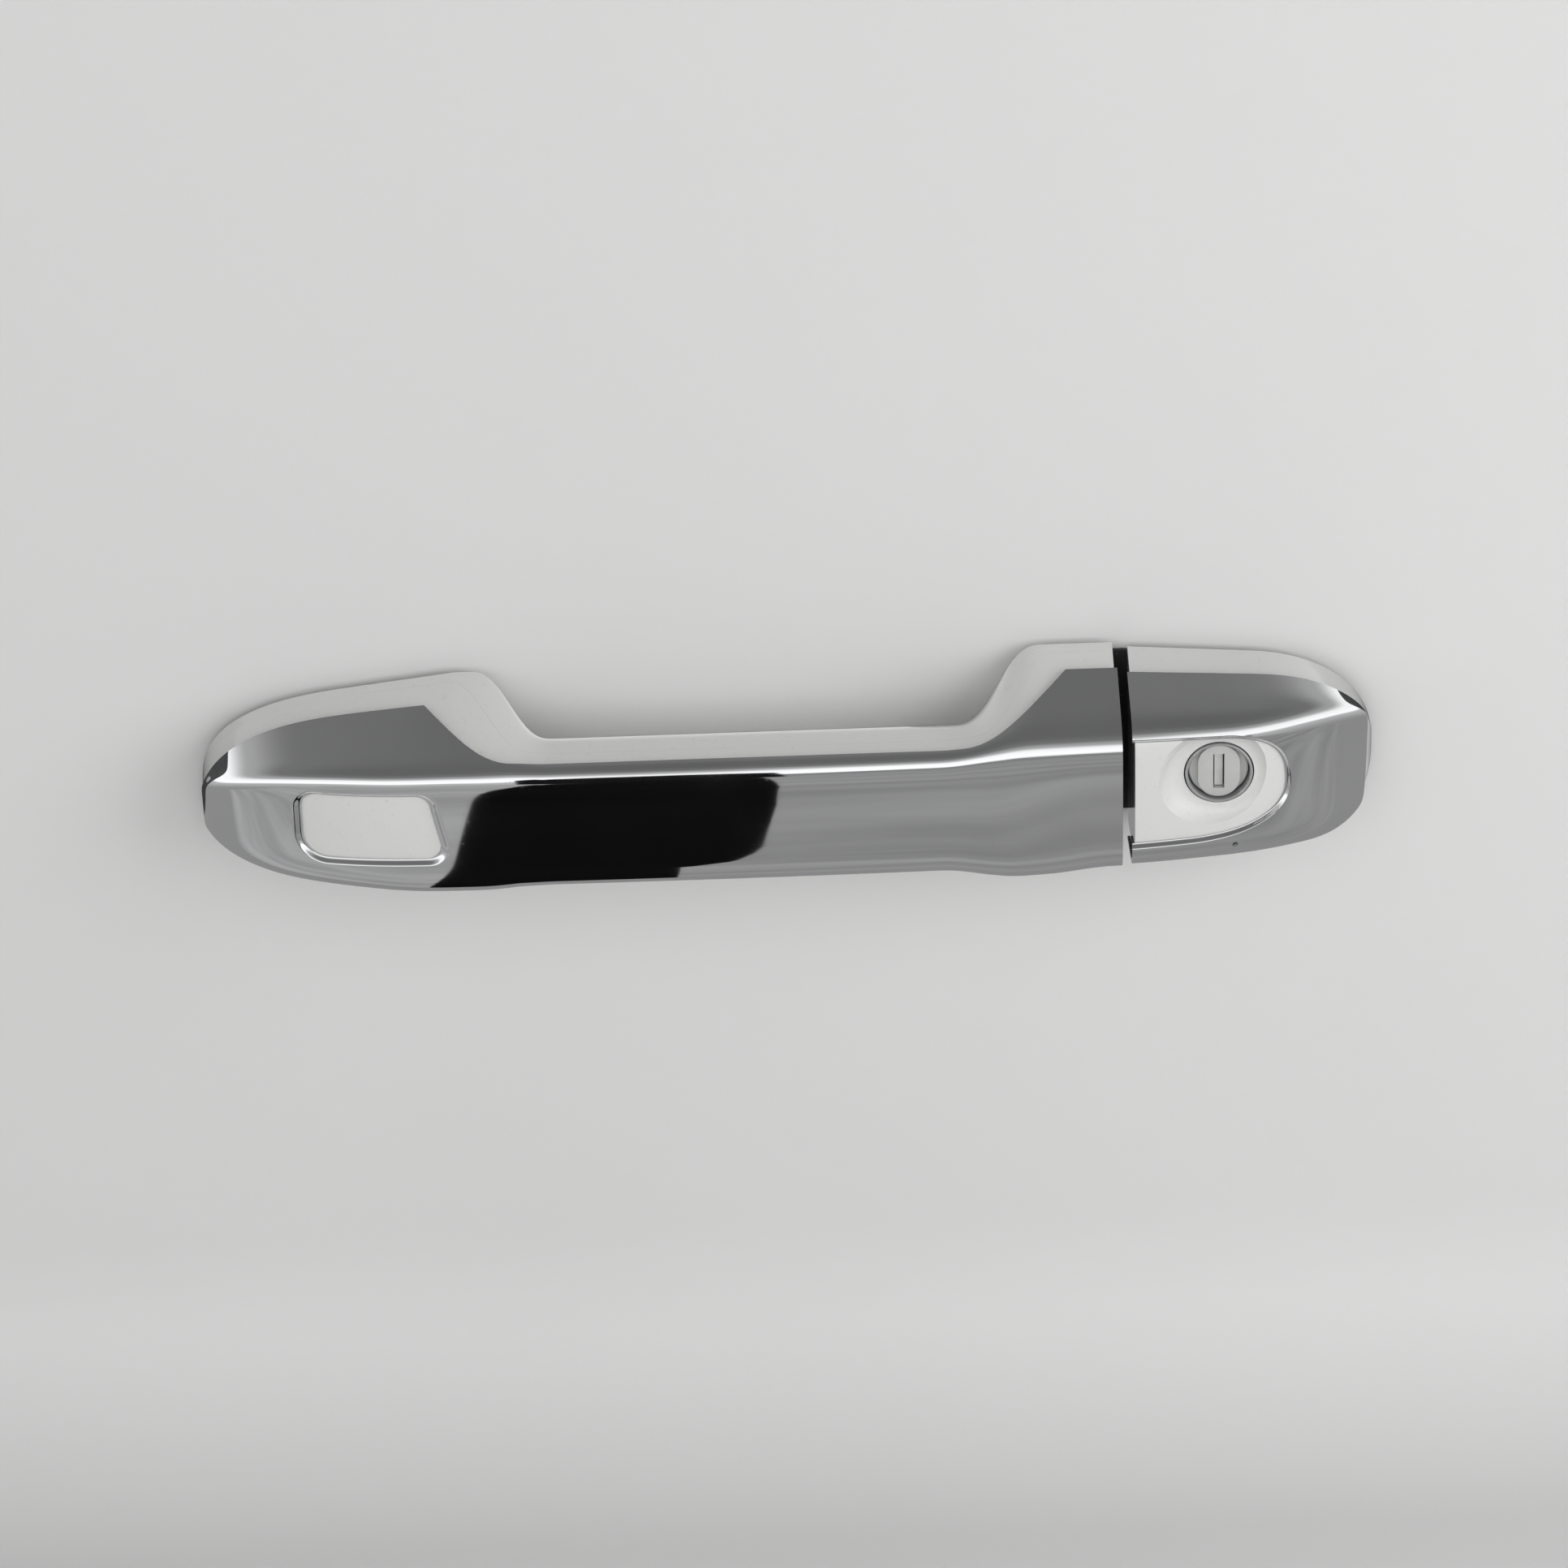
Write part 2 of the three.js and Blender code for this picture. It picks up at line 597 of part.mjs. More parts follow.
function carrierFrame() {
  const frontPlate = plate('y', roundedRectangle(-214, -149, -15, 18, 8), landRise, plateThick, 4);
  const rearPlate = plate('y', roundedRectangle(-45, 66, -17, 21, 8), landRise, plateThick, 4);
  const lands = [[-153, -149], [-44, -30], [-4.5, 5.5], [37, 44]].map(
    ([from, to]) => box([from, to], [0, plateThick], [-10, 12]));
  const bridge = joined(
    box([-153, -149], [landRise, 24], [-11, 11]),
    box([-153, -40], [20, 24], [-11, 11]),
    box([-153, -40], [17, 20.5], [-1.5, 1.5]),
    box([-44, -40], [landRise, 24], [-11, 11]),
  );
  const pinEars = [[8, 11], [-11, -8]].map(([low, high]) => joined(
    rod('z', 5, low, high, [hinge.x, hinge.y, 0]),
    box([hinge.x - 5, hinge.x + 5], [1, hinge.y], [low, high]),
  ));
  const crankEar = polygon([[1, -15], [crankAxis.y - 6, crankAxis.z], [crankAxis.y + 1, crankAxis.z - 5.8],
    [crankAxis.y + 5.6, crankAxis.z - 2], [crankAxis.y + 4.6, crankAxis.z + 4.2], [1, 8]]);
  const crankEars = [[-36, -33], [-3, 0]].map(([low, high]) => plate('x', crankEar, low, high));
  const endLug = box([38, 41], [1, 20], [-4, 14]);
  const bosses = frameBolts.map(({ x, z }) => boltBoss(x, z));
  let frame = joined(frontPlate, rearPlate, ...lands, bridge, ...pinEars, ...crankEars, endLug, ...bosses);
  const cuts = [
    plate('y', roundedRectangle(-183.5, -154.5, -9.3, 9.3, 2), -5, 10, 3).intersect(
      box([-184, -154], [-5, plateThick + 0.01], [-10, 10])),
    plate('y', roundedRectangle(-27, -6.5, -3, 18.5, 2), -5, 10, 3),
    plate('y', roundedRectangle(7.5, 35, -7, 16, 3), -5, 10, 3),
    rod('z', hinge.radius + 0.15, -20, 20, [hinge.x, hinge.y, 0]),
    rod('x', crankPinRadius + 0.15, -40, 5, [0, crankAxis.y, crankAxis.z]),
    rod('x', 2.5, 30, 45, [0, 12, 4.9]),
    ...frameBolts.map(({ x, z }) => rod('y', 2.8, -5, 20, [x, 0, z])),
  ];
  for (const cut of cuts) frame = frame.subtract(cut);
  return frame;
}

function headedPin(axis, radius, from, to, centre) {
  return turned(axis, [[0, from], [radius, from], [radius, to], [radius + 1.6, to], [radius + 1.6, to + 1.4],
    [0, to + 1.4]], centre, 20);
}

function frameBolt({ x, z }) {
  const head = rod('y', 4.4, 9, 12.5, [x, 0, z], 6);
  const flange = turned('y', [[0, 0.6], [2.4, 0.6], [2.4, 7.1], [6, 7.1], [6, 8.1], [4.6, 9.1], [0, 9.1]],
    [x, 0, z], 20);
  return head.add(flange);
}

// Thin gasket between a lobe and the skin, following the rim a little inside it
function frontPad() {
  const outline = [];
  const stations = [1.7, 2.4, 4, 6.5, 10, 16, 24, 36, 50];
  for (const s of stations) outline.push([gripTip + coverRise + s, gripGuide(s + coverRise, 0).backTopZ - padInset]);
  outline.push([-139, 20], [-137, 17], [-137, -10], [-139, -14]);
  for (const s of [...stations].reverse()) {
    outline.push([gripTip + coverRise + s, gripGuide(s + coverRise, 0).backLowZ + padInset]);
  }
  return plate('y', polygon(outline), skinY - padSheet, skinY)
    .subtract(box([-181, -155], [-5, 5], [-8.6, 8.6]));
}

function rearPad() {
  const outline = [[-19, -14.6], [-22, -12], [-22, 17], [-19, 20.6]];
  const stations = [-10, 0, 12, 24, 33, 40, 45, 48, 49.6];
  for (const x of stations) outline.push([x, capGuide(Math.max(x, capStart), 0).backTopZ - padInset]);
  for (const x of [...stations].reverse()) {
    outline.push([x, Math.min(capGuide(Math.max(x, capStart), 0).backLowZ + padInset, capNoseZ - 0.4)]);
  }
  return plate('y', polygon(outline), skinY - padSheet, skinY)
    .subtract(box([-26, -8], [-5, 5], [-0.6, 16.6]))
    .subtract(rod('y', 9.2, -5, 5, [keyAxis.x, 0, keyAxis.z]));
}

// ---- Crank pieces, drawn about the crank's own axis ----
const fingerTip = { y: fingerLength * Math.sin(fingerLean), z: fingerLength * Math.cos(fingerLean) };
const cheeks = [[-27.5, -24.5], [-9.5, -6.5]];

function bellCrank() {
  let crank = rod('x', 4.5, -31, -5, [0, 0, 0]);
  for (const [low, high] of cheeks) {
    crank = crank.add(plate('x', linkShape(0, 0, 6.2, fingerTip.y, fingerTip.z, 4.2), low, high, 4));
    crank = crank.add(plate('x', linkShape(0, 0, 6.2, weightPoint.y, weightPoint.z, 4.6), low, high, 4));
  }
  crank = crank.add(plate('x', linkShape(0, 0, 6.2, rodPoint.y, rodPoint.z, 3.8), -31, -28, 4));
  const bores = [
    rod('x', crankPinRadius + gap, -40, 5, [0, 0, 0]),
    rod('x', fingerBarRadius + 0.1, -40, 5, [0, fingerTip.y, fingerTip.z]),
    rod('x', 1.6, -40, 5, [0, weightPoint.y, weightPoint.z]),
    rod('x', 2.1, -40, -27.9, [0, rodPoint.y, rodPoint.z]),
  ];
  for (const bore of bores) crank = crank.subtract(bore);
  return crank;
}

function fingerBar() {
  return rod('x', fingerBarRadius, -28.4, -5.6, [0, fingerTip.y, fingerTip.z]);
}

function fingerSleeve() {
  const profile = [[fingerBarRadius + 0.15, -22], [fingerBarRadius + 0.6, -22], [fingerBarRadius + 0.6, -12],
    [fingerBarRadius + 0.15, -12], [fingerBarRadius + 0.15, -22]];
  return turned('x', profile, [0, fingerTip.y, fingerTip.z], 20);
}

function counterweight() {
  const block = plate('x', roundedRectangle(weightPoint.y - 6, weightPoint.y + 6, weightPoint.z - 7, weightPoint.z + 5, 2.5),
    -24.2, -9.8, 4);
  return block.subtract(rod('x', 1.8, -40, 5, [0, weightPoint.y, weightPoint.z], 14))
    .subtract(rod('x', 7.4, -40, 5, [0, 0, 0], 24));
}

function weightRivet() {
  const profile = [[0, -28.6], [2.6, -28.6], [2.6, -27.6], [1.45, -27.6], [1.45, -6.4], [2.6, -6.4],
    [2.6, -5.4], [0, -5.4]];
  return turned('x', profile, [0, weightPoint.y, weightPoint.z], 14);
}

// Torsion spring round the hub: coil, one leg against the finger, one short leg
class SpringPath extends THREE.Curve {
  getPoint(t, target = new THREE.Vector3()) {
    const coil = THREE.MathUtils.clamp((t - 0.12) / 0.76, 0, 1);
    const turn = coil * Math.PI * 2 * 3.25;
    const along = mix(-21.4, -12.6, coil);
    const radial = new THREE.Vector2(Math.cos(turn), Math.sin(turn)).multiplyScalar(6.1);
    const tangent = new THREE.Vector2(-Math.sin(turn), Math.cos(turn));
    const lead = t < 0.12 ? (t - 0.12) * 90 : Math.max(0, t - 0.88) * 110;
    radial.addScaledVector(tangent, lead);
    return target.set(along, radial.x, radial.y);
  }
}

function crankSpring() {
  const section = new THREE.Shape();
  section.absarc(0, 0, 0.65, 0, Math.PI * 2);
  const geometry = new THREE.ExtrudeGeometry(section, {
    extrudePath: new SpringPath(), steps: 46, bevelEnabled: false, curveSegments: 3,
  });
  return solid(geometry);
}

// Plastic clip that holds the latch rod upright, with its pin through the crank's lower arm
function rodClip() {
  const block = box([-37, -31.4], [-3.6, 3.6], [-4.5, 4.5]);
  const pin = rod('x', 1.7, -32, -27.2, [0, 0, 0], 16);
  const head = turned('x', [[0, -27.7], [2.7, -27.7], [1.9, -26.3], [0, -26.3]], [0, 0, 0], 16);
  return joined(block, pin, head).subtract(rod('z', 1.6, -6, 6, [-34.2, 0, 0], 16));
}

// ---- Key cylinder pieces, drawn about the key axis ----
function lockHousing() {
  const bore = plugRadius + gap;
  const seat = plugFaceRadius + gap;
  const seatEnd = ringFrontY + 4.1;
  const profile = [[seat, ringFrontY], [housingRadius, ringFrontY], [housingRadius, -3], [7.6, -2], [7.6, 28],
    [bore, 28], [bore, seatEnd], [seat, seatEnd], [seat, ringFrontY]];
  const body = turned('y', profile, [0, 0, 0], 28);
  const lug = box([6.6, 16.4], [7, 17], [-4.9, 5.1]);
  return body.add(lug.subtract(rod('y', plugRadius + 1.2, 0, 30, [0, 0, 0], 28)))
    .subtract(rod('x', 2.4, 9.4, 20, [0, 12, 0], 16));
}

function lockPlug() {
  const flangeFront = lockFaceY + 1;
  const flangeBack = flangeFront + 2;
  const profile = [[0, flangeFront], [plugFaceRadius, flangeFront], [plugFaceRadius, flangeBack],
    [plugRadius, flangeBack], [plugRadius, 28.6], [3, 28.6], [3, 36.4], [0, 36.4]];
  const body = turned('y', profile, [0, 0, 0], 28);
  const oblong = plate('y', roundedRectangle(-4.4, 4.4, -6.1, 6.1, 4.3), lockFaceY, flangeFront + 0.2, 6);
  const keyway = box([-1.15, 1.15], [lockFaceY - 1, -12], [-4.1, 4.1]);
  const neck = box([1.9, 4], [31.9, 37], [-4, 4]);
  return body.add(oblong).subtract(keyway).subtract(neck);
}

const leverThick = 2;
const leverReach = 17;

function tailLever() {
  const lever = plate('y', linkShape(0, 0, 6, 0, -leverReach, 3.6), 32, 32 + leverThick, 6);
  const bore = rod('y', 3 + 0.15, 20, 45, [0, 0, 0]).subtract(box([2.1, 4], [20, 45], [-5, 5]));
  return lever.subtract(bore).subtract(rod('y', 2, 20, 45, [0, 0, -leverReach], 16));
}

function tailClip() {
  return turned('y', [[3.15, 34.3], [5.2, 34.3], [5.2, 35.3], [3.15, 35.3], [3.15, 34.3]], [0, 0, 0], 20)
    .subtract(box([-1.2, 1.2], [30, 40], [-8, 0]));
}

function lockRodClip() {
  const pin = rod('y', 1.7, 30.6, 36, [0, 0, 0], 16);
  const head = turned('y', [[0, 30], [2.6, 30], [2.6, 31.6], [0, 31.6]], [0, 0, 0], 16);
  const block = box([-3.6, 3.6], [34.4, 40], [-4.5, 4.5]);
  return joined(pin, head, block).subtract(rod('z', 1.6, -6, 6, [0, 37.4, 0], 16));
}

const shutterTop = 3.4;

function keyShutter() {
  const flap = box([-0.85, 0.85], [-0.35, 0.35], [-7.3, -0.2]);
  return flap.add(rod('x', 0.5, -0.85, 0.85, [0, 0, 0], 12));
}

function cylinderSeal() {
  const inner = housingRadius + 0.15;
  const outer = keyHole + 1.8;
  return turned('y', [[inner, -6.4], [outer, -6.4], [outer, -4.2], [inner, -4.2], [inner, -6.4]], [0, 0, 0], 24);
}

function fixingScrew() {
  const profile = [[0, 28.4], [1.9, 28.4], [1.9, 41.2], [4.4, 41.2], [4.4, 43.2], [3.4, 44.4], [0, 44.4]];
  const recess = rod('x', 1.8, 42.4, 46, [0, 12, 4.9], 6);
  return turned('x', profile, [0, 12, 4.9], 20).subtract(recess);
}

// ---- Assembly ----
const handle = new THREE.Group();

const chassis = new THREE.Group();
addPiece(chassis, 'carrier_frame', carrierFrame(), 'nylon');
addPiece(chassis, 'hinge_pin', headedPin('z', hinge.radius, -12.6, 11.4, [hinge.x, hinge.y, 0]), 'steel');
addPiece(chassis, 'crank_pin', headedPin('x', crankPinRadius, -37.6, 0.3, [0, crankAxis.y, crankAxis.z]), 'steel');
addPiece(chassis, 'front_pad', frontPad(), 'rubber');
addPiece(chassis, 'rear_pad', rearPad(), 'rubber');
addPiece(chassis, 'end_cap', capBody(), 'paint');
addPiece(chassis, 'end_cap_chrome_cover', capCover(), 'chrome');
addPiece(chassis, 'cap_cover_tape', capTape(), 'tape');
addPiece(chassis, 'fixing_screw', fixingScrew(), 'steel');
addPiece(chassis, 'frame_bolt_front', frameBolt(frameBolts[0]), 'steel');
addPiece(chassis, 'frame_bolt_rear', frameBolt(frameBolts[1]), 'steel');
handle.add(chassis);

const grip = new THREE.Group();
addPiece(grip, 'grip_outer_shell', gripOuterShell(), 'paint');
addPiece(grip, 'grip_inner_shell', gripInnerShell(), 'paint');
addPiece(grip, 'grip_chrome_cover', gripCover(), 'chrome');
addPiece(grip, 'cover_tape_front', coverTape(-136, -92), 'tape');
addPiece(grip, 'cover_tape_rear', coverTape(-84, -12), 'tape');
addPiece(grip, 'touch_sensor', touchSensor(), 'nylon');
addPiece(grip, 'antenna_bar', antennaBar(), 'nylon');
addPiece(grip, 'shell_screw_front', shellScrew(shellScrews[0]), 'steel');
addPiece(grip, 'shell_screw_rear', shellScrew(shellScrews[1]), 'steel');
handle.add(grip);

const crank = new THREE.Group();
crank.position.set(0, crankAxis.y, crankAxis.z);
addPiece(crank, 'bell_crank', bellCrank(), 'greyNylon');
addPiece(crank, 'finger_bar', fingerBar(), 'steel');
addPiece(crank, 'finger_sleeve', fingerSleeve(), 'rubber');
addPiece(crank, 'counterweight', counterweight(), 'zinc');
addPiece(crank, 'weight_rivet', weightRivet(), 'steel');
addPiece(crank, 'crank_spring', crankSpring(), 'steel');
handle.add(crank);

const latchRodEnd = new THREE.Group();
latchRodEnd.position.set(0, rodPoint.y, rodPoint.z);
addPiece(latchRodEnd, 'latch_rod_clip', rodClip(), 'whiteClip');
crank.add(latchRodEnd);

const lock = new THREE.Group();
lock.position.set(keyAxis.x, 0, keyAxis.z);
addPiece(lock, 'lock_housing', lockHousing(), 'zinc');
addPiece(lock, 'cylinder_seal', cylinderSeal(), 'rubber');
addPiece(lock, 'lock_plug', lockPlug(), 'lockFace');
addPiece(lock, 'lock_tail_lever', tailLever(), 'steel');
addPiece(lock, 'tail_clip', tailClip(), 'steel');
handle.add(lock);

const shutterHinge = new THREE.Group();
shutterHinge.position.set(0, shutterAxisY, shutterTop);
addPiece(shutterHinge, 'key_shutter', keyShutter(), 'lockFace');
lock.add(shutterHinge);

const lockRodEnd = new THREE.Group();
lockRodEnd.position.set(0, 0, -leverReach);
addPiece(lockRodEnd, 'lock_rod_clip', lockRodClip(), 'whiteClip');
lock.add(lockRodEnd);

export default handle;
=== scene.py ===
import json
import math

import bpy
import numpy as np
from mathutils import Matrix, Vector
from mathutils.bvhtree import BVHTree


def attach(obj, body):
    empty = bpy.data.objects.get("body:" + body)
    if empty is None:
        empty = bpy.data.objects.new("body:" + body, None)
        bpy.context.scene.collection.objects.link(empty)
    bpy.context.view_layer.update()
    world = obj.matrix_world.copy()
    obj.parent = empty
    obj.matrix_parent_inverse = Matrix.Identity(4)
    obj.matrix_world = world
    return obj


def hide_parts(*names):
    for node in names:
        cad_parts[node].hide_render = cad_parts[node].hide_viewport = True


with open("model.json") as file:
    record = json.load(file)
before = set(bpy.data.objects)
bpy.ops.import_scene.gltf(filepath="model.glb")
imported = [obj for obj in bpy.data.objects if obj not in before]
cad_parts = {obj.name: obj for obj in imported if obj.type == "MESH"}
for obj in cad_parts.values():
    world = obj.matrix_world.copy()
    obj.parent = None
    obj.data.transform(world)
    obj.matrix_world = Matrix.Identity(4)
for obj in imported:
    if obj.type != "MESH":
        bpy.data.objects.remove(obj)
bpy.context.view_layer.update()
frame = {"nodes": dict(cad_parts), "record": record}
nodes = frame["nodes"]
print("frame loaded,", len(nodes), "nodes")

mm = 0.001  # shapes below are drawn in millimetres
sharpAngle = 32  # degrees between faces, above which an edge stays sharp
cutDepth = 40  # how far a cutting block reaches to each side, past everything it cuts

# ---- the form that the grip and the cap share ----

gripForm = {
    "tip": -193.5,
    "end": -1.8,
    "noseZ": -4.0,
    "noseSetBack": 0.3,
    "rimY": -2.8,
    "strapBackY": -14.5,
    "faceDepth": 25.0,
    "bow": 2.0,
    "crown": 0.8,
    "crownReach": 6.0,
}
# how far back each line of the nose starts to close, and how full its curve is
gripNose = {"depth": (49, 2.35), "crease": (38, 2.25), "low": (34, 2.1), "rim": (33, 2.9)}
# sizes at the front lobe, the strap and the rear lobe, and where one goes over into the next
gripLines = {
    "crease": {"sizes": (16.7, 17.3, 19.4), "bend": (56, 74), "rearBend": (152.5, 172.5)},
    "creaseReach": {"sizes": (5, 7, 10), "bend": (50, 80), "rearBend": (152.5, 172.5)},
    "low": {"sizes": (8.8, 9.6, 12), "bend": (56, 76), "rearBend": (152.5, 172.5)},
    "top": {"sizes": (19.8, 18, 28.5), "bend": (57, 75), "rearBend": (158, 177)},
    "back": {"sizes": (13, 9.4, 14.5), "bend": (57, 75), "rearBend": (152.5, 172.5)},
}
capForm = {
    "start": 0.2,
    "end": 52.2,
    "noseZ": -1.0,
    "faceDepth": 25.8,
    "crease": 18.0,
    "low": 13.4,
    "top": 24.4,
    "back": 17.4,
    "depthTaper": 0.08,
    "topTaper": 0.078,
}
capNose = {"depth": (34.5, 2), "height": (26, 2.3), "crease": (26, 2.7), "low": (15.6, 2.36)}
coverForm = {
    "rise": 1.2,
    "sheet": 0.8,
    "lipGap": 0.12,
    "edgeFront": -11.8,
    "edgeStrap": -28.0,
    "edgeRear": -11.0,
    "edgeCap": -12.0,
    "frontSweep": (48.0, 66.0),
    "rearSweep": (160.0, 181.0),
}
shellForm = {"wall": 2.2, "endWall": 2.2, "endInset": 0.6}
windowForm = {
    "x": -157.4,
    "z": 1.2,
    "outer": (15.9, 8.9, 4.5),
    "inner": (13.9, 7.6, 3.2),
}
openingForm = {"top": 15.2, "low": -9.5, "depth": 32.4, "bevel": 1.2}
keyForm = {
    "x": 18.4,
    "z": 4.9,
    "hole": 7.3,
    "ring": 7.0,
    "face": 6.15,
    "plug": 5.2,
    "ringY": -24.8,
    "faceY": -24.0,
    "dishReach": 13.5,
    "dishFall": 5.2,
    "dishY": -24.4,
}


def mix(a, b, share):
    return a + (b - a) * share


def rise(value, start, finish):
    t = np.clip((value - start) / (finish - start), 0, 1)
    return t * t * t * (t * (t * 6 - 15) + 10)


def roundEnd(distance, reach, fullness):
    t = np.clip(distance / reach, 0, 1)
    return (1 - (1 - t) ** fullness) ** (1 / fullness)


def lobed(line, s, frontExtra=0, rearExtra=0):
    front, strap, rear = line["sizes"]
    ahead = mix(front + frontExtra, strap, rise(s, *line["bend"]))
    return mix(ahead, rear + rearExtra, rise(s, *line["rearBend"]))


def gripGuide(s, grow):
    inside = s - gripForm["noseSetBack"] + grow
    close = {line: roundEnd(inside, *curve) for line, curve in gripNose.items()}
    waist = rise(s, 57.5, 74) - rise(s, 156.5, 176)
    bow = 1 - ((s - 105) / 105) ** 2
    faceDepth = (gripForm["faceDepth"] + gripForm["bow"] * bow + grow) * close["depth"]
    creaseHeight = lobed(gripLines["crease"], s)
    lowDepth = lobed(gripLines["low"], s, 1.8 * rise(s, 20, 54), -1.1 * rise(s, 174, 192))
    topHeight = lobed(gripLines["top"], s, 0.126 * np.minimum(s, 54))
    backDepth = lobed(gripLines["back"], s)
    creaseReach = lobed(gripLines["creaseReach"], s)
    rim, nose = gripForm["rimY"], gripForm["noseZ"]
    return {
        "backY": mix(rim, gripForm["strapBackY"], waist),
        "faceY": rim - faceDepth,
        "lowY": rim - faceDepth * mix(0.97, 0.94, rise(s, 160, 190)),
        "creaseZ": nose + (creaseHeight + grow) * close["crease"],
        "lowZ": nose - (lowDepth + grow) * close["low"],
        "backTopZ": nose + (topHeight + grow) * close["rim"],
        "backLowZ": nose - (backDepth + grow) * close["rim"],
        "creaseReach": np.maximum(0.2, creaseReach + grow) * close["crease"],
        "lowReach": max(0.2, 8.5 + grow) * close["low"],
        "backReach": mix(0.6, 7, waist) * close["rim"],
        "crown": close["depth"],
    }


def capGuide(x, grow):
    inside = capForm["end"] - gripForm["noseSetBack"] + grow - x
    close = {line: roundEnd(inside, *curve) for line, curve in capNose.items()}
    along = x - capForm["start"]
    faceDepth = (capForm["faceDepth"] - capForm["depthTaper"] * along + grow) * close["depth"]
    topHeight = capForm["top"] - capForm["topTaper"] * along
    rim, nose = gripForm["rimY"], capForm["noseZ"]
    return {
        "backY": rim + 0 * x,
        "faceY": rim - faceDepth,
        "lowY": rim - faceDepth * mix(0.94, 0.9, rise(along, 0, 30)),
        "creaseZ": nose + (capForm["crease"] + grow) * close["crease"],
        "lowZ": nose - (capForm["low"] + grow) * close["low"],
        "backTopZ": nose + (topHeight + grow) * close["height"],
        "backLowZ": nose - (capForm["back"] + grow) * close["low"],
        "creaseReach": (10 + grow) * close["height"],
        "lowReach": (8.5 + grow) * close["low"],
        "backReach": 0.6 * close["height"],
        "crown": close["depth"],
    }


def sectionRings(guide, x, cornerSteps=16, sideSteps=10):
    # one ring per station: four eased corners, the sides between them cut into short runs
    keys = [("backY", "backLowZ", "backReach"), ("lowY", "lowZ", "lowReach")]
    keys += [("faceY", "creaseZ", "creaseReach"), ("backY", "backTopZ", "backReach")]
    corners = [np.stack([guide[y], guide[z]], -1) for y, z, _ in keys]
    starts, ends = [], []
    for i, (_, _, reach) in enumerate(keys):
        here, before, after = corners[i], corners[i - 1], corners[(i + 1) % 4]
        cameFrom = np.linalg.norm(here - before, axis=-1)
        goesTo = np.linalg.norm(here - after, axis=-1)
        back = np.minimum(0.48, guide[reach] / np.maximum(cameFrom, 1e-9))[:, None]
        ahead = np.minimum(0.48, guide[reach] / np.maximum(goesTo, 1e-9))[:, None]
        starts.append(here + (before - here) * back)
        ends.append(here + (after - here) * ahead)
    rows = []
    for i in range(4):
        for t in np.linspace(0, 1, cornerSteps + 1):
            stay = 3 * t * (1 - t)
            rows.append(starts[i] * (1 - t) ** 3 + corners[i] * stay + ends[i] * t**3)
        for t in np.linspace(0, 1, sideSteps + 1)[1:-1]:
            rows.append(mix(ends[i], starts[(i + 1) % 4], t))
    points = np.stack(rows, 1)
    y, z = points[..., 0], points[..., 1]
    low = (guide["lowZ"] - gripForm["crownReach"])[:, None]
    span = (guide["creaseZ"] + gripForm["crownReach"])[:, None] - low
    share = np.clip((z - low) / span, 0, 1)
    backY, faceY = guide["backY"][:, None], guide["faceY"][:, None]
    depth = np.clip((y - backY) / np.minimum(faceY - backY, -1e-9), 0, 1)
    bulge = gripForm["crown"] * guide["crown"][:, None] * 4 * share * (1 - share) * depth**2
    across = np.broadcast_to(np.asarray(x, float)[:, None], y.shape)
    return np.stack([across, y - bulge, z], -1)


def faceAt(guideOf, x, z):
    # depth of the outer face at each (x, z)
    rings = sectionRings(guideOf(x), x, 40, 14)
    following = np.roll(rings, -1, 1)
    fromZ, toZ = rings[..., 2] - z[:, None], following[..., 2] - z[:, None]
    crosses = (fromZ * toZ <= 0) & (fromZ != toZ)
    share = np.where(crosses, fromZ / np.where(fromZ == toZ, 1, fromZ - toZ), 0)
    depth = np.where(crosses, mix(rings[..., 1], following[..., 1], share), 0)
    return depth.min(1)


def gripFace(x, z):
    return faceAt(lambda at: gripGuide(at - gripForm["tip"], coverForm["rise"]), x, z)


def capFace(x, z):
    return faceAt(lambda at: capGuide(np.maximum(at, capForm["start"]), coverForm["rise"]), x, z)


# ---- meshes ----


def meshFrom(name, points, faces):
    mesh = bpy.data.meshes.new(name)
    mesh.from_pydata((np.asarray(points) * mm).tolist(), [], faces)
    mesh.validate()
    return mesh


def enclosed(points, faces):
    # signed volume, to tell which way the faces look
    total = 0.0
    for face in faces:
        a = points[face[0]]
        for k in range(1, len(face) - 1):
            total += float(np.dot(a, np.cross(points[face[k]], points[face[k + 1]])))
    return total / 6


def loftMesh(name, rings):
    count, around = rings.shape[:2]
    points = rings.reshape(-1, 3)
    faces = []
    for i in range(count - 1):
        a = i * around
        for j in range(around):
            k = (j + 1) % around
            faces.append((a + j, a + around + j, a + around + k, a + k))
    points = np.vstack([points, rings[0].mean(0), rings[-1].mean(0)])
    first, last, base = count * around, count * around + 1, (count - 1) * around
    for j in range(around):
        k = (j + 1) % around
        faces.append((first, j, k))
        faces.append((last, base + k, base + j))
    if enclosed(points, faces) < 0:
        faces = [tuple(reversed(face)) for face in faces]
    return meshFrom(name, points, faces)


def gripStations(grow, end):
    first = gripForm["noseSetBack"] - grow
    length = end - gripForm["tip"]
    near = first + 0.01 + 46 * np.linspace(0, 1, 84) ** 2.4
    far = np.linspace(near[-1], length, int((length - near[-1]) / 0.8) + 1)[1:]
    return np.concatenate([near, far])


def gripLoft(grow, end, cornerSteps=16, sideSteps=10):
    s = gripStations(grow, end)
    return loftMesh("gripForm", sectionRings(gripGuide(s, grow), s + gripForm["tip"], cornerSteps, sideSteps))


def capLoft(grow, start, cornerSteps=16, sideSteps=10):
    nose = capForm["end"] - gripForm["noseSetBack"] + grow - 0.01
    x = nose - (nose - start) * np.linspace(1, 0, 110) ** 1.9
    return loftMesh("capForm", sectionRings(capGuide(x, grow), x, cornerSteps, sideSteps))


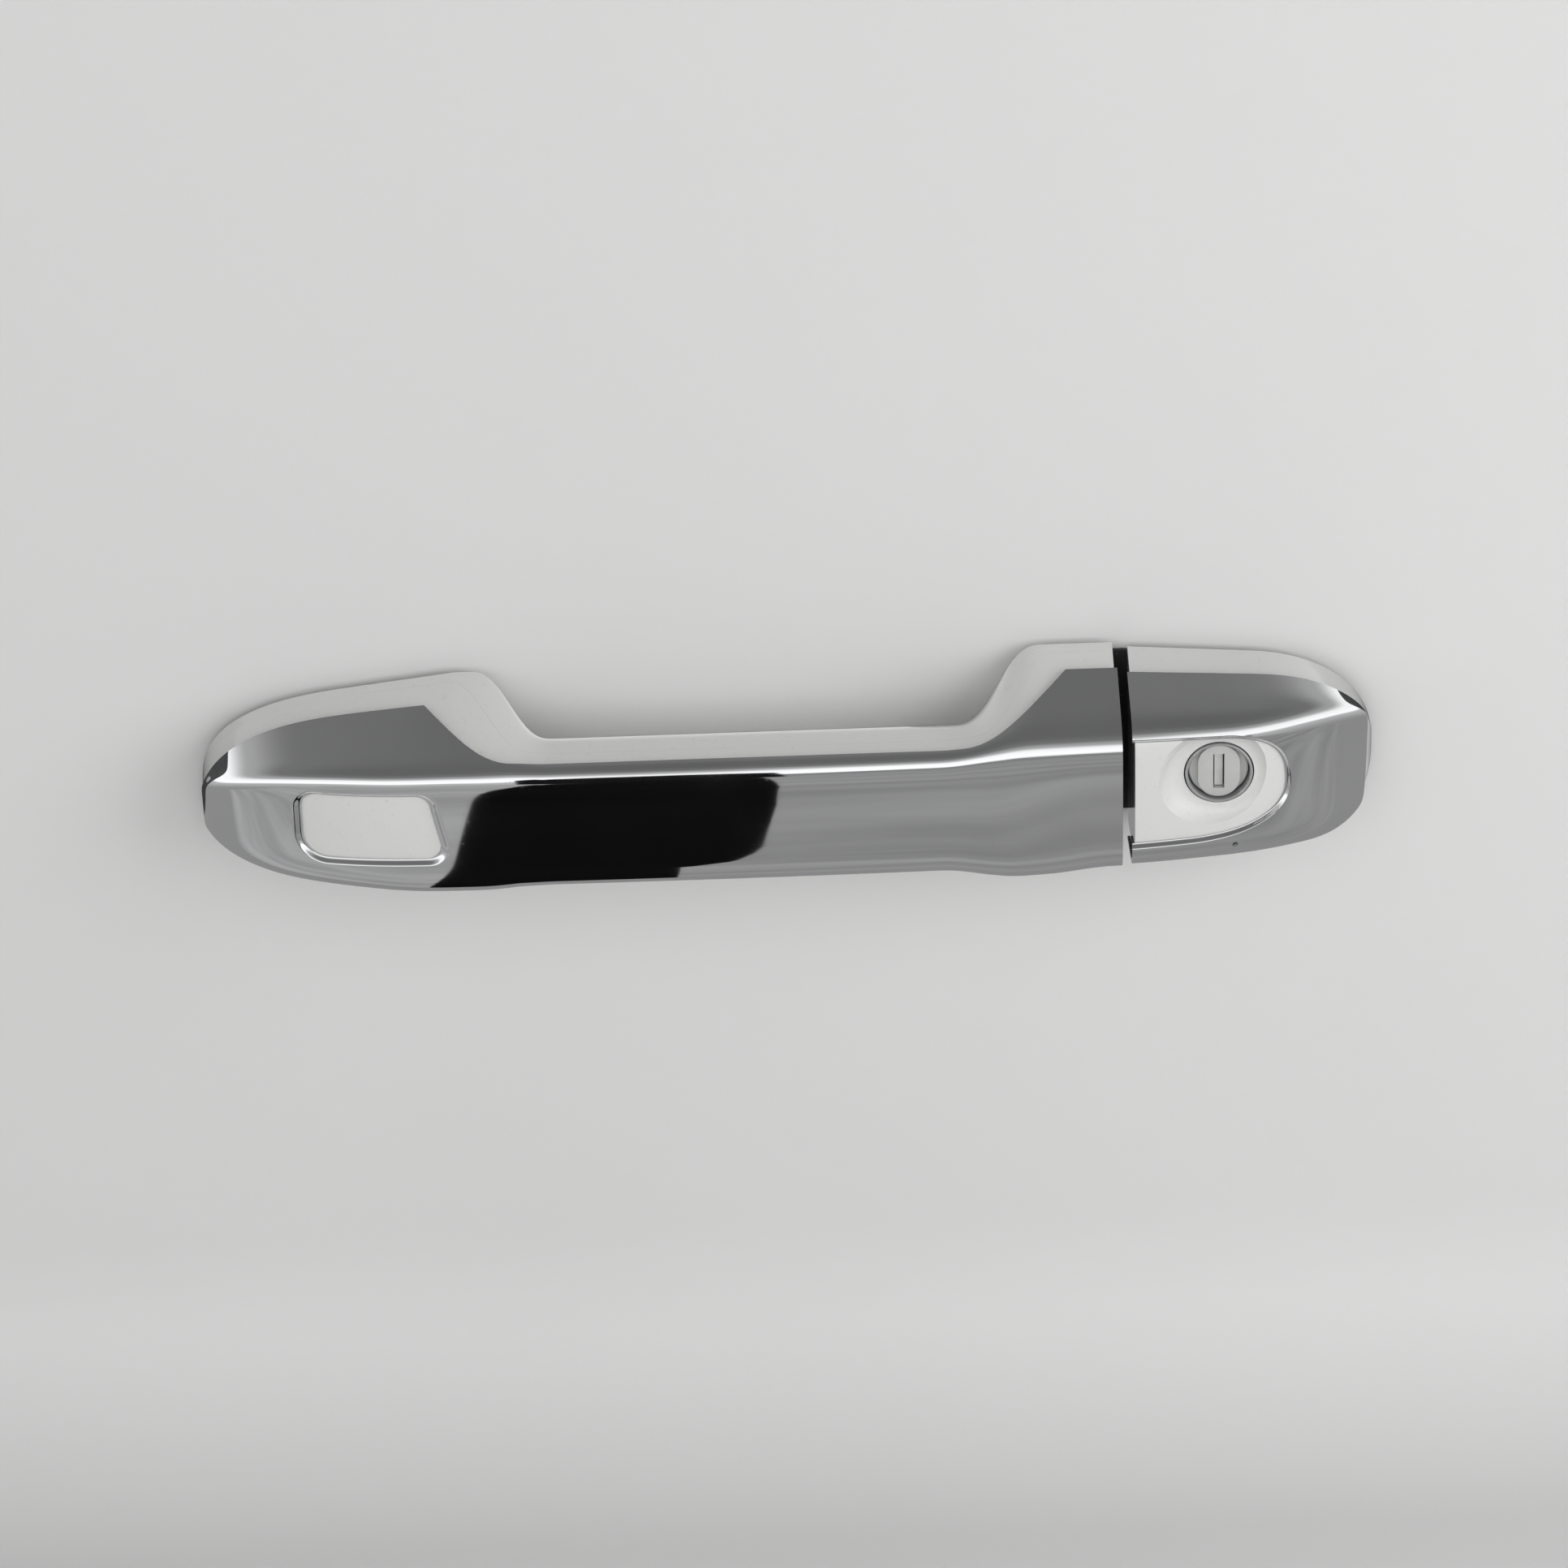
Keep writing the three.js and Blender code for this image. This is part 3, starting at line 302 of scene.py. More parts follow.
# where a ring's two flat coordinates, then its place along the axis, go in x, y and z
axisOrder = {"x": (2, 0, 1), "y": (0, 2, 1), "z": (0, 1, 2)}


def plateMesh(name, axis, outline, start, finish, bevel=0.0):
    outline = np.asarray(outline, float)
    levels = [(start, 0.0), (finish, 0.0)]
    if bevel:
        turns = np.linspace(0, math.pi / 2, 4)
        near = [(start + bevel * (1 - math.sin(a)), bevel * (1 - math.cos(a))) for a in turns]
        levels = list(reversed(near)) + [(start + finish - at, inset) for at, inset in near]
    rings = []
    for along, inset in levels:
        flat = insetOutline(outline, inset) if inset else outline
        ring = np.column_stack([flat, np.full(len(flat), along)])
        rings.append(ring[:, axisOrder[axis]])
    rings = np.stack(rings)
    count, around = rings.shape[:2]
    faces = []
    for i in range(count - 1):
        for j in range(around):
            k = (j + 1) % around
            faces.append((i * around + j, i * around + k, (i + 1) * around + k, (i + 1) * around + j))
    faces.append(tuple(reversed(range(around))))
    faces.append(tuple((count - 1) * around + j for j in range(around)))
    points = rings.reshape(-1, 3)
    if enclosed(points, faces) < 0:
        faces = [tuple(reversed(face)) for face in faces]
    return meshFrom(name, points, faces)


def insetOutline(outline, inset):
    before, after = np.roll(outline, 1, 0), np.roll(outline, -1, 0)
    inward = []
    area = np.sum(outline[:, 0] * after[:, 1] - after[:, 0] * outline[:, 1])
    for a, b in ((before, outline), (outline, after)):
        along = (b - a) / np.maximum(np.linalg.norm(b - a, axis=1), 1e-9)[:, None]
        inward.append(np.column_stack([-along[:, 1], along[:, 0]]) * math.copysign(1, area))
    middle = inward[0] + inward[1]
    middle /= np.maximum(np.linalg.norm(middle, axis=1), 1e-9)[:, None]
    share = np.clip(np.sum(middle * inward[0], 1), 0.5, 1)
    return outline + middle * (inset / share)[:, None]


def boxMesh(name, x, y, z):
    return plateMesh(name, "z", [(x[0], y[0]), (x[1], y[0]), (x[1], y[1]), (x[0], y[1])], *z)


def circle(centre, radius, sides=48):
    turn = np.linspace(0, 2 * math.pi, sides, endpoint=False)
    return np.column_stack([centre[0] + radius * np.cos(turn), centre[1] + radius * np.sin(turn)])


def roundedBox(u0, u1, v0, v1, radius, steps=10):
    points = []
    quarters = [(u1 - radius, v0 + radius, -90), (u1 - radius, v1 - radius, 0)]
    quarters += [(u0 + radius, v1 - radius, 90), (u0 + radius, v0 + radius, 180)]
    for u, v, angle in quarters:
        for step in range(steps + 1):
            turn = math.radians(angle + 90 * step / steps)
            points.append((u + radius * math.cos(turn), v + radius * math.sin(turn)))
    return points


def latheMesh(name, profile, centre, sides=96):
    # profile points are (radius, y), turned about the y axis through the centre (x, z)
    turn = np.linspace(0, 2 * math.pi, sides, endpoint=False)
    points, faces = [], []
    rows = []
    for radius, y in profile:
        rows.append(len(points))
        if radius == 0:
            points.append((centre[0], y, centre[1]))
            continue
        for angle in turn:
            points.append((centre[0] + radius * math.cos(angle), y, centre[1] + radius * math.sin(angle)))
    closed = profile[0][0] != 0
    pairs = list(zip(range(len(profile) - 1), range(1, len(profile))))
    if closed:
        pairs.append((len(profile) - 1, 0))
    for a, b in pairs:
        for j in range(sides):
            k = (j + 1) % sides
            if profile[a][0] == 0:
                faces.append((rows[a], rows[b] + j, rows[b] + k))
            elif profile[b][0] == 0:
                faces.append((rows[a] + k, rows[a] + j, rows[b]))
            else:
                faces.append((rows[a] + j, rows[b] + j, rows[b] + k, rows[a] + k))
    points = np.array(points)
    if enclosed(points, faces) < 0:
        faces = [tuple(reversed(face)) for face in faces]
    return meshFrom(name, points, faces)


def carve(name, base, *steps):
    # steps are (operation, mesh) pairs, done in order
    scene = bpy.context.scene
    body = bpy.data.objects.new(name, base)
    scene.collection.objects.link(body)
    helpers = []
    for operation, mesh in steps:
        helper = bpy.data.objects.new(name + "Tool", mesh)
        scene.collection.objects.link(helper)
        helpers.append(helper)
        modifier = body.modifiers.new(operation, "BOOLEAN")
        modifier.operation = operation
        modifier.solver = "MANIFOLD"
        modifier.object = helper
    graph = bpy.context.evaluated_depsgraph_get()
    result = bpy.data.meshes.new_from_object(body.evaluated_get(graph))
    for helper in [body, *helpers]:
        bpy.data.objects.remove(helper)
    if not len(result.polygons):
        raise RuntimeError(name + " has no faces after its cuts")
    result.name = name
    return result


def smoothed(mesh):
    mesh.shade_smooth()
    mesh.set_sharp_from_angle(angle=math.radians(sharpAngle))
    return mesh


def followForm(mesh, *forms):
    # corners that lie on an uncut form take that form's own normals, so cuts leave no ripples
    smoothed(mesh)
    corners = np.zeros(len(mesh.loops) * 3)
    mesh.corner_normals.foreach_get("vector", corners)
    corners = corners.reshape(-1, 3)
    owner = np.zeros(len(mesh.loops), int)
    mesh.loops.foreach_get("vertex_index", owner)
    flat = np.zeros(len(mesh.polygons) * 3)
    mesh.polygons.foreach_get("normal", flat)
    sizes = np.zeros(len(mesh.polygons), int)
    mesh.polygons.foreach_get("loop_total", sizes)
    flat = np.repeat(flat.reshape(-1, 3), sizes, 0)
    for form in forms:
        form.shade_smooth()
        places = [vertex.co.copy() for vertex in form.vertices]
        normals = [vertex.normal.copy() for vertex in form.vertices]
        polygons = [tuple(face.vertices) for face in form.polygons]
        tree = BVHTree.FromPolygons(places, polygons)
        wanted = np.zeros((len(mesh.vertices), 3))
        found = np.zeros(len(mesh.vertices), bool)
        for vertex in mesh.vertices:
            place, _, index, _ = tree.find_nearest(vertex.co, 4e-6)
            if place is None:
                continue
            normal = Vector()
            for near in polygons[index]:
                normal += normals[near] / max((places[near] - vertex.co).length, 1e-7) ** 2
            wanted[vertex.index] = normal.normalized()
            found[vertex.index] = True
        match = found[owner] & (np.abs(np.sum(wanted[owner] * flat, 1)) > 0.9)
        side = np.sign(np.sum(wanted[owner] * flat, 1))[:, None]
        corners = np.where(match[:, None], wanted[owner] * side, corners)
    mesh.normals_split_custom_set(corners.tolist())
    return mesh


def piece(name, mesh, body, slotName, *replaced):
    thing = bpy.data.objects.new(name, mesh)
    bpy.context.scene.collection.objects.link(thing)
    mesh.materials.clear()
    mesh.materials.append(finishes[slotName])
    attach(thing, body)
    if replaced:
        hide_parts(*replaced)
    return thing


# ---- node helpers ----


def link(tree, source, target):
    tree.links.new(source, target)


def place(tree, kind, x, y, **settings):
    node = tree.nodes.new(kind)
    node.location = (x, y)
    for key, value in settings.items():
        setattr(node, key, value)
    return node


def effectGroup(name, inputs, outputs):
    group = bpy.data.node_groups.new(name, "ShaderNodeTree")
    for label, kind, default in inputs:
        socket = group.interface.new_socket(label, in_out="INPUT", socket_type="NodeSocket" + kind)
        socket.default_value = default
    for label, kind in outputs:
        group.interface.new_socket(label, in_out="OUTPUT", socket_type="NodeSocket" + kind)
    start = place(group, "NodeGroupInput", -900, 0)
    end = place(group, "NodeGroupOutput", 900, 0)
    return group, start, end


def mathNode(tree, operation, x, y, *values):
    node = place(tree, "ShaderNodeMath", x, y, operation=operation)
    for i, value in enumerate(values):
        if hasattr(value, "links"):
            link(tree, value, node.inputs[i])
        else:
            node.inputs[i].default_value = value
    return node.outputs[0]


def spread(tree, value, low, high, x, y):
    node = place(tree, "ShaderNodeMapRange", x, y)
    link(tree, value, node.inputs["Value"])
    node.inputs["To Min"].default_value = low
    node.inputs["To Max"].default_value = high
    return node.outputs["Result"]


def makeHandling():
    # broad handling haze and fine dust, for anything that is touched or driven through rain
    group, start, end = effectGroup(
        "handlingHaze",
        [("Haze Size", "Float", 0.03), ("Dust Size", "Float", 0.0012), ("Amount", "Float", 1.0)],
        [("Haze", "Float"), ("Dust", "Float")],
    )
    where = place(group, "ShaderNodeTexCoord", -900, 300)
    for label, size, y, detail, low, high in (
        ("Haze", "Haze Size", 200, 5, 0.42, 0.72),
        ("Dust", "Dust Size", -200, 2, 0.62, 0.78),
    ):
        scale = mathNode(group, "DIVIDE", -700, y, 1.0, start.outputs[size])
        noise = place(group, "ShaderNodeTexNoise", -480, y)
        noise.inputs["Detail"].default_value = detail
        link(group, where.outputs["Object"], noise.inputs["Vector"])
        link(group, scale, noise.inputs["Scale"])
        clip = place(group, "ShaderNodeMapRange", -240, y, interpolation_type="SMOOTHSTEP")
        clip.inputs["From Min"].default_value = low
        clip.inputs["From Max"].default_value = high
        link(group, noise.outputs["Fac"], clip.inputs["Value"])
        weighed = mathNode(group, "MULTIPLY", 0, y, clip.outputs["Result"], start.outputs["Amount"])
        link(group, weighed, end.inputs[label])
    return group


def makeGrain():
    # moulded grain: close pits with a slow drift in their depth
    group, start, end = effectGroup(
        "mouldGrain",
        [("Grain Size", "Float", 0.0006), ("Drift Size", "Float", 0.012), ("Contrast", "Float", 1.0)],
        [("Height", "Float"), ("Drift", "Float")],
    )
    where = place(group, "ShaderNodeTexCoord", -900, 300)
    scale = mathNode(group, "DIVIDE", -700, 150, 1.0, start.outputs["Grain Size"])
    pits = place(group, "ShaderNodeTexVoronoi", -460, 200, feature="SMOOTH_F1")
    link(group, where.outputs["Object"], pits.inputs["Vector"])
    link(group, scale, pits.inputs["Scale"])
    driftScale = mathNode(group, "DIVIDE", -700, -200, 1.0, start.outputs["Drift Size"])
    drift = place(group, "ShaderNodeTexNoise", -460, -200)
    drift.inputs["Detail"].default_value = 3
    link(group, where.outputs["Object"], drift.inputs["Vector"])
    link(group, driftScale, drift.inputs["Scale"])
    uneven = mathNode(group, "MULTIPLY", -200, 60, pits.outputs["Distance"], drift.outputs["Fac"])
    link(group, mathNode(group, "MULTIPLY", 100, 60, uneven, start.outputs["Contrast"]), end.inputs["Height"])
    link(group, drift.outputs["Fac"], end.inputs["Drift"])
    return group


def makeEdgeRub():
    # edges rubbed brighter: convex places, broken up by noise
    group, start, end = effectGroup(
        "edgeRub",
        [("Reach", "Float", 0.5), ("Breakup Size", "Float", 0.004)],
        [("Mask", "Float")],
    )
    shape = place(group, "ShaderNodeNewGeometry", -900, 200)
    convex = place(group, "ShaderNodeMapRange", -600, 200, interpolation_type="SMOOTHSTEP")
    convex.inputs["From Min"].default_value = 0.52
    convex.inputs["From Max"].default_value = 0.62
    link(group, shape.outputs["Pointiness"], convex.inputs["Value"])
    where = place(group, "ShaderNodeTexCoord", -900, -200)
    scale = mathNode(group, "DIVIDE", -700, -200, 1.0, start.outputs["Breakup Size"])
    noise = place(group, "ShaderNodeTexNoise", -460, -200)
    link(group, where.outputs["Object"], noise.inputs["Vector"])
    link(group, scale, noise.inputs["Scale"])
    broken = mathNode(group, "MULTIPLY", -200, 0, convex.outputs["Result"], noise.outputs["Fac"])
    link(group, mathNode(group, "MULTIPLY", 100, 0, broken, start.outputs["Reach"]), end.inputs["Mask"])
    return group


handlingHaze = makeHandling()
mouldGrain = makeGrain()
edgeRub = makeEdgeRub()


def effect(tree, group, x, y, **values):
    node = place(tree, "ShaderNodeGroup", x, y)
    node.node_tree = group
    for key, value in values.items():
        node.inputs[key.replace("_", " ")].default_value = value
    return node


def blendColours(tree, mask, first, second, x, y):
    node = place(tree, "ShaderNodeMix", x, y, data_type="RGBA")
    link(tree, mask, node.inputs["Factor"])
    for socket, value in ((node.inputs[6], first), (node.inputs[7], second)):
        if hasattr(value, "links"):
            link(tree, value, socket)
        else:
            socket.default_value = (*value, 1)
    return node.outputs[2]


def bumped(tree, shader, height, distance, strength, x, y):
    bump = place(tree, "ShaderNodeBump", x, y)
    bump.inputs["Distance"].default_value = distance
    bump.inputs["Strength"].default_value = strength
    link(tree, height, bump.inputs["Height"])
    link(tree, bump.outputs["Normal"], shader.inputs["Normal"])


def newFinish(name):
    material = bpy.data.materials.new(name)
    material.use_nodes = True
    tree = material.node_tree
    shader = tree.nodes["Principled BSDF"]
    return material, tree, shader


# ---- finishes ----

chromeLook = {
    "colour": (0.86, 0.865, 0.875),
    "hazeColour": (0.78, 0.785, 0.79),
    "roughness": (0.025, 0.085),
    "orangePeel": 0.000004,
}


def chromeFinish():
    material, tree, shader = newFinish("brightChrome")
    haze = effect(tree, handlingHaze, -800, 200, Haze_Size=0.045, Dust_Size=0.0009, Amount=0.75)
    clean, hazed = chromeLook["colour"], chromeLook["hazeColour"]
    colour = blendColours(tree, haze.outputs["Haze"], clean, hazed, -400, 300)
    link(tree, colour, shader.inputs["Base Color"])
    shader.inputs["Metallic"].default_value = 1.0
    film = mathNode(tree, "MAXIMUM", -560, 0, haze.outputs["Haze"], haze.outputs["Dust"])
    roughness = spread(tree, film, *chromeLook["roughness"], -400, 0)
    link(tree, roughness, shader.inputs["Roughness"])
    peel = effect(tree, mouldGrain, -800, -300, Grain_Size=0.009, Drift_Size=0.03, Contrast=0.5)
    bumped(tree, shader, peel.outputs["Height"], chromeLook["orangePeel"], 0.35, -200, -300)
    return material


paintLook = {
    "colour": (0.7, 0.7, 0.692),
    "shade": (0.62, 0.625, 0.62),
    "flake": (0.8, 0.8, 0.785),
    "flakesPerMetre": 9000,
    "roughness": (0.28, 0.42),
    "coat": 1.0,
    "coatRoughness": 0.03,
}


def paintFinish():
    material, tree, shader = newFinish("pearlPaint")
    haze = effect(tree, handlingHaze, -1000, 200, Haze_Size=0.03, Dust_Size=0.0011, Amount=0.8)
    where = place(tree, "ShaderNodeTexCoord", -1200, -100)
    flakes = place(tree, "ShaderNodeTexVoronoi", -1000, -100)
    flakes.inputs["Scale"].default_value = paintLook["flakesPerMetre"]
    link(tree, where.outputs["Object"], flakes.inputs["Vector"])
    glint = spread(tree, flakes.outputs["Distance"], 0.0, 0.25, -800, -100)
    body = blendColours(tree, glint, paintLook["colour"], paintLook["flake"], -600, 100)
    dusty = blendColours(tree, haze.outputs["Dust"], body, paintLook["shade"], -400, 200)
    link(tree, dusty, shader.inputs["Base Color"])
    roughness = spread(tree, haze.outputs["Haze"], *paintLook["roughness"], -400, 0)
    link(tree, roughness, shader.inputs["Roughness"])
    shader.inputs["Coat Weight"].default_value = paintLook["coat"]
    shader.inputs["Coat Roughness"].default_value = paintLook["coatRoughness"]
    peel = effect(tree, mouldGrain, -800, -400, Grain_Size=0.004, Drift_Size=0.02, Contrast=0.6)
    bumped(tree, shader, peel.outputs["Height"], 0.000008, 0.3, -200, -400)
    return material


plainLooks = {
    "black_nylon": {
        "name": "blackNylon", "colour": (0.022, 0.023, 0.024), "worn": (0.085, 0.085, 0.085),
        "roughness": (0.42, 0.66), "metallic": 0, "grainSize": 0.0005, "depth": 0.00005, "rub": 0.7,
    },
    "grey_nylon": {
        "name": "greyNylon", "colour": (0.17, 0.175, 0.18), "worn": (0.3, 0.3, 0.3),
        "roughness": (0.38, 0.6), "metallic": 0, "grainSize": 0.0007, "depth": 0.00003, "rub": 0.6,
    },
    "white_clip": {
        "name": "naturalNylon", "colour": (0.7, 0.67, 0.59), "worn": (0.8, 0.78, 0.7),
        "roughness": (0.4, 0.6), "metallic": 0, "grainSize": 0.0008, "depth": 0.00002, "rub": 0.5,
    },
    "pad_rubber": {
        "name": "padRubber", "colour": (0.018, 0.018, 0.019), "worn": (0.06, 0.06, 0.058),
        "roughness": (0.7, 0.92), "metallic": 0, "grainSize": 0.0004, "depth": 0.00005, "rub": 0.5,
    },
    "tape": {
        "name": "foamTape", "colour": (0.36, 0.03, 0.028), "worn": (0.5, 0.12, 0.1),
        "roughness": (0.6, 0.85), "metallic": 0, "grainSize": 0.0005, "depth": 0.00006, "rub": 0.4,
    },
    "steel": {
        "name": "zincPlatedSteel", "colour": (0.5, 0.51, 0.54), "worn": (0.68, 0.68, 0.7),
        "roughness": (0.24, 0.46), "metallic": 1, "grainSize": 0.0009, "depth": 0.000012, "rub": 1.0,
    },
    "spring_steel": {
        "name": "springSteel", "colour": (0.24, 0.235, 0.235), "worn": (0.5, 0.49, 0.48),
        "roughness": (0.22, 0.42), "metallic": 1, "grainSize": 0.0006, "depth": 0.00001, "rub": 1.0,
    },
    "cast_zinc": {
        "name": "castZinc", "colour": (0.46, 0.465, 0.47), "worn": (0.66, 0.66, 0.67),
        "roughness": (0.36, 0.58), "metallic": 0.6, "grainSize": 0.0011, "depth": 0.00004, "rub": 0.9,
    },
    "lock_face": {
        "name": "satinNickel", "colour": (0.62, 0.62, 0.61), "worn": (0.8, 0.8, 0.79),
        "roughness": (0.36, 0.5), "metallic": 0.25, "grainSize": 0.0007, "depth": 0.00001, "rub": 1.0,
    },
}


def plainFinish(name, colour, worn, roughness, metallic, grainSize, depth, rub):
    material, tree, shader = newFinish(name)
    grain = effect(tree, mouldGrain, -1000, -200, Grain_Size=grainSize, Drift_Size=0.011, Contrast=1.0)
    haze = effect(tree, handlingHaze, -1000, 200, Haze_Size=0.012, Dust_Size=0.0007, Amount=0.8)
    edge = effect(tree, edgeRub, -1000, 500, Reach=rub, Breakup_Size=0.003)
    dull = tuple(c * 0.72 for c in colour)
    bright = tuple(min(1, c * 1.2) for c in colour)
    dust = tuple(mix(c, 0.5, 0.18) for c in colour)
    mottled = blendColours(tree, grain.outputs["Drift"], dull, bright, -700, 300)
    dusty = blendColours(tree, haze.outputs["Dust"], mottled, dust, -500, 300)
    rubbed = blendColours(tree, edge.outputs["Mask"], dusty, worn, -300, 300)
    link(tree, rubbed, shader.inputs["Base Color"])
    shader.inputs["Metallic"].default_value = metallic
    link(tree, spread(tree, haze.outputs["Haze"], *roughness, -400, 0), shader.inputs["Roughness"])
    bumped(tree, shader, grain.outputs["Height"], depth, 0.8, -200, -200)
    return material


finishes = {"chrome_cover": chromeFinish(), "white_paint": paintFinish()}
for slotName, look in plainLooks.items():
    finishes[slotName] = plainFinish(**look)
slotOf = {row["node"]: row["material_slot"] for row in frame["record"]["subparts"]}
for nodeName, cadNode in nodes.items():
    cadNode.data.materials.clear()
    cadNode.data.materials.append(finishes[slotOf[nodeName]])
print("finishes made")

# ---- grip ----

bendRuns = 48
inwardY, outwardY = 60, -60


def blockBeyond(yOfX, bends, farY):
    # all the space between a line drawn along the grip and farY, cut finer where the line bends
    tip, end = gripForm["tip"], gripForm["end"]
    points = [(end + 6, farY), (tip - 6, farY), (tip - 6, yOfX(tip))]
    for start, finish in bends:
        for t in np.linspace(0, 1, bendRuns):
            x = tip + mix(start, finish, t)
            points.append((x, yOfX(x)))
    points.append((end + 6, yOfX(end)))
    return plateMesh("beyond", "z", points, -cutDepth, cutDepth)


def coverEdgeY(x):
    s = x - gripForm["tip"]
    frontStart, frontEnd = coverForm["frontSweep"]
    rearStart, rearEnd = coverForm["rearSweep"]
    front = np.clip((s - frontStart) / (frontEnd - frontStart), 0, 1)
    rear = np.clip((rearEnd - s) / (rearEnd - rearStart), 0, 1)
    if rear < 1:
        return mix(coverForm["edgeRear"], coverForm["edgeStrap"], math.sin(rear * math.pi / 2))
    return mix(coverForm["edgeFront"], coverForm["edgeStrap"], math.sin(front * math.pi / 2))


def windowRing(size, spreadBy, lift):
    halfX, halfZ, base = size[0] + spreadBy, size[1] + spreadBy, size[2]
    quarters = [(1, -1, base, 0.8), (1, 1, base, -1.0), (-1, 1, base, 0), (-1, -1, base * 1.6, 0)]
    points = []
    for quarter, (sideX, sideZ, radius, lean) in enumerate(quarters):
        for angle in (quarter - 1 + np.linspace(0, 1, 14)) * math.pi / 2:
            x = windowForm["x"] + sideX * (halfX - radius) + lean + radius * math.cos(angle)
            z = windowForm["z"] + sideZ * (halfZ - radius) + radius * math.sin(angle)
            points.append((x, z))
    # long sides get points of their own, so the lip follows the crowned face
    dense = []
    for (x0, z0), (x1, z1) in zip(points, points[1:] + points[:1]):
        runs = max(1, int(math.hypot(x1 - x0, z1 - z0) / 0.9))
        dense += [(mix(x0, x1, k / runs), mix(z0, z1, k / runs)) for k in range(runs)]
    return dense, lift


def ringsOnFace(levels, face):
    # every level gets as many points as the fullest one, spread evenly round it
    count = 220
    rings = []
    for outline, lift in levels:
        loop = np.array(outline + outline[:1])
        run = np.concatenate([[0], np.cumsum(np.linalg.norm(np.diff(loop, axis=0), axis=1))])
        at = np.linspace(0, run[-1], count, endpoint=False)
        x, z = np.interp(at, run, loop[:, 0]), np.interp(at, run, loop[:, 1])
        rings.append(np.column_stack([x, face(x, z) + lift, z]))
    return np.stack(rings)


def lipLevels(ringAt, above, *ends):
    # the lip rolls over from the face, falls, and ends in a small round at the opening
    levels = [ringAt(1.0, above), ringAt(1.0, 1.0)]
    for t in np.linspace(0, 1, 9)[1:]:
        levels.append(ringAt(1 - t, 0.5 * (1 + math.cos(math.pi * t))))
    return levels + [ringAt(share, lift) for share, lift in ends]


def windowLevel(share, lift):
    inner, outer = windowForm["inner"], windowForm["outer"]
    size = tuple(mix(o, i, share) for o, i in zip(outer, inner))
    return windowRing(size, 0, lift)


gripOuter = gripLoft(coverForm["rise"], gripForm["end"])
gripUnder = gripLoft(coverForm["rise"] - coverForm["sheet"], gripForm["end"] + 4, 10, 6)
rollLevels = ringsOnFace(lipLevels(windowLevel, 4.0, (-0.35, -0.35), (-0.42, -3.0)), gripFace)
blockLevels = [windowRing(windowForm["outer"], 1.2, lift) for lift in (1.3, 0.4)]
block = carve(
    "lipBlock",
    loftMesh("lipBlock", ringsOnFace(blockLevels, gripFace)),
    ("DIFFERENCE", gripLoft(coverForm["lipGap"], gripForm["end"], 10, 6)),
)
gripCover = carve(
    "gripChromeCover",
    gripOuter.copy(),
    ("DIFFERENCE", gripUnder),
    ("DIFFERENCE", blockBeyond(coverEdgeY, (coverForm["frontSweep"], coverForm["rearSweep"]), inwardY)),
    ("UNION", block),
    ("DIFFERENCE", loftMesh("windowRoll", rollLevels)),
)
piece("gripCover", followForm(gripCover, gripOuter), "grip", "chrome_cover", "grip_chrome_cover")
print("grip cover made,", len(gripCover.polygons), "faces")

partingForm = {
    "bends": ((52.0, 70.0), (162.0, 180.0)),
    "outY": -2.4,
    "strapY": -22.5,
    "clearance": 0.02,
}
armForm = {"left": -21.5, "right": -12.5, "low": 1.0, "high": 15.0, "end": 40.0, "fingerY": 34.68}
floorForm = {"bends": ((62.0, 78.0), (153.0, 169.0)), "lobe": 3.0, "strap": 2.0}
hingeForm = {"x": -189.0, "y": 9.0, "radius": 2.5, "eye": 5.0, "half": 7.0}
screwPlaces = (-122.0, -34.0)


def partingY(x):
    s = x - gripForm["tip"]
    waist = rise(s, *partingForm["bends"][0]) - rise(s, *partingForm["bends"][1])
    return mix(gripForm["rimY"] + partingForm["outY"], partingForm["strapY"], waist)


def beyondParting(clearance, farY):
    return blockBeyond(lambda x: partingY(x) + clearance, partingForm["bends"], farY)


def outerShell():
    back = gripForm["end"] - shellForm["endInset"]
    outside = gripLoft(0, back)
    inside = gripLoft(-shellForm["wall"], back - shellForm["endWall"], 8, 5)
    shell = carve(
        "gripOuterShell",
        outside.copy(),
        ("DIFFERENCE", inside),
        ("DIFFERENCE", beyondParting(-partingForm["clearance"], inwardY)),
    )
    return followForm(shell, outside)


def rodY(x, z, radius, start, finish, bevel=0.0):
    return plateMesh("rod", "y", circle((x, z), radius), start, finish, bevel)


def floorY(x):
    s = x - gripForm["tip"]
    waist = rise(s, *floorForm["bends"][0]) - rise(s, *floorForm["bends"][1])
    return mix(gripForm["rimY"] - floorForm["lobe"], gripForm["strapBackY"] - floorForm["strap"], waist)


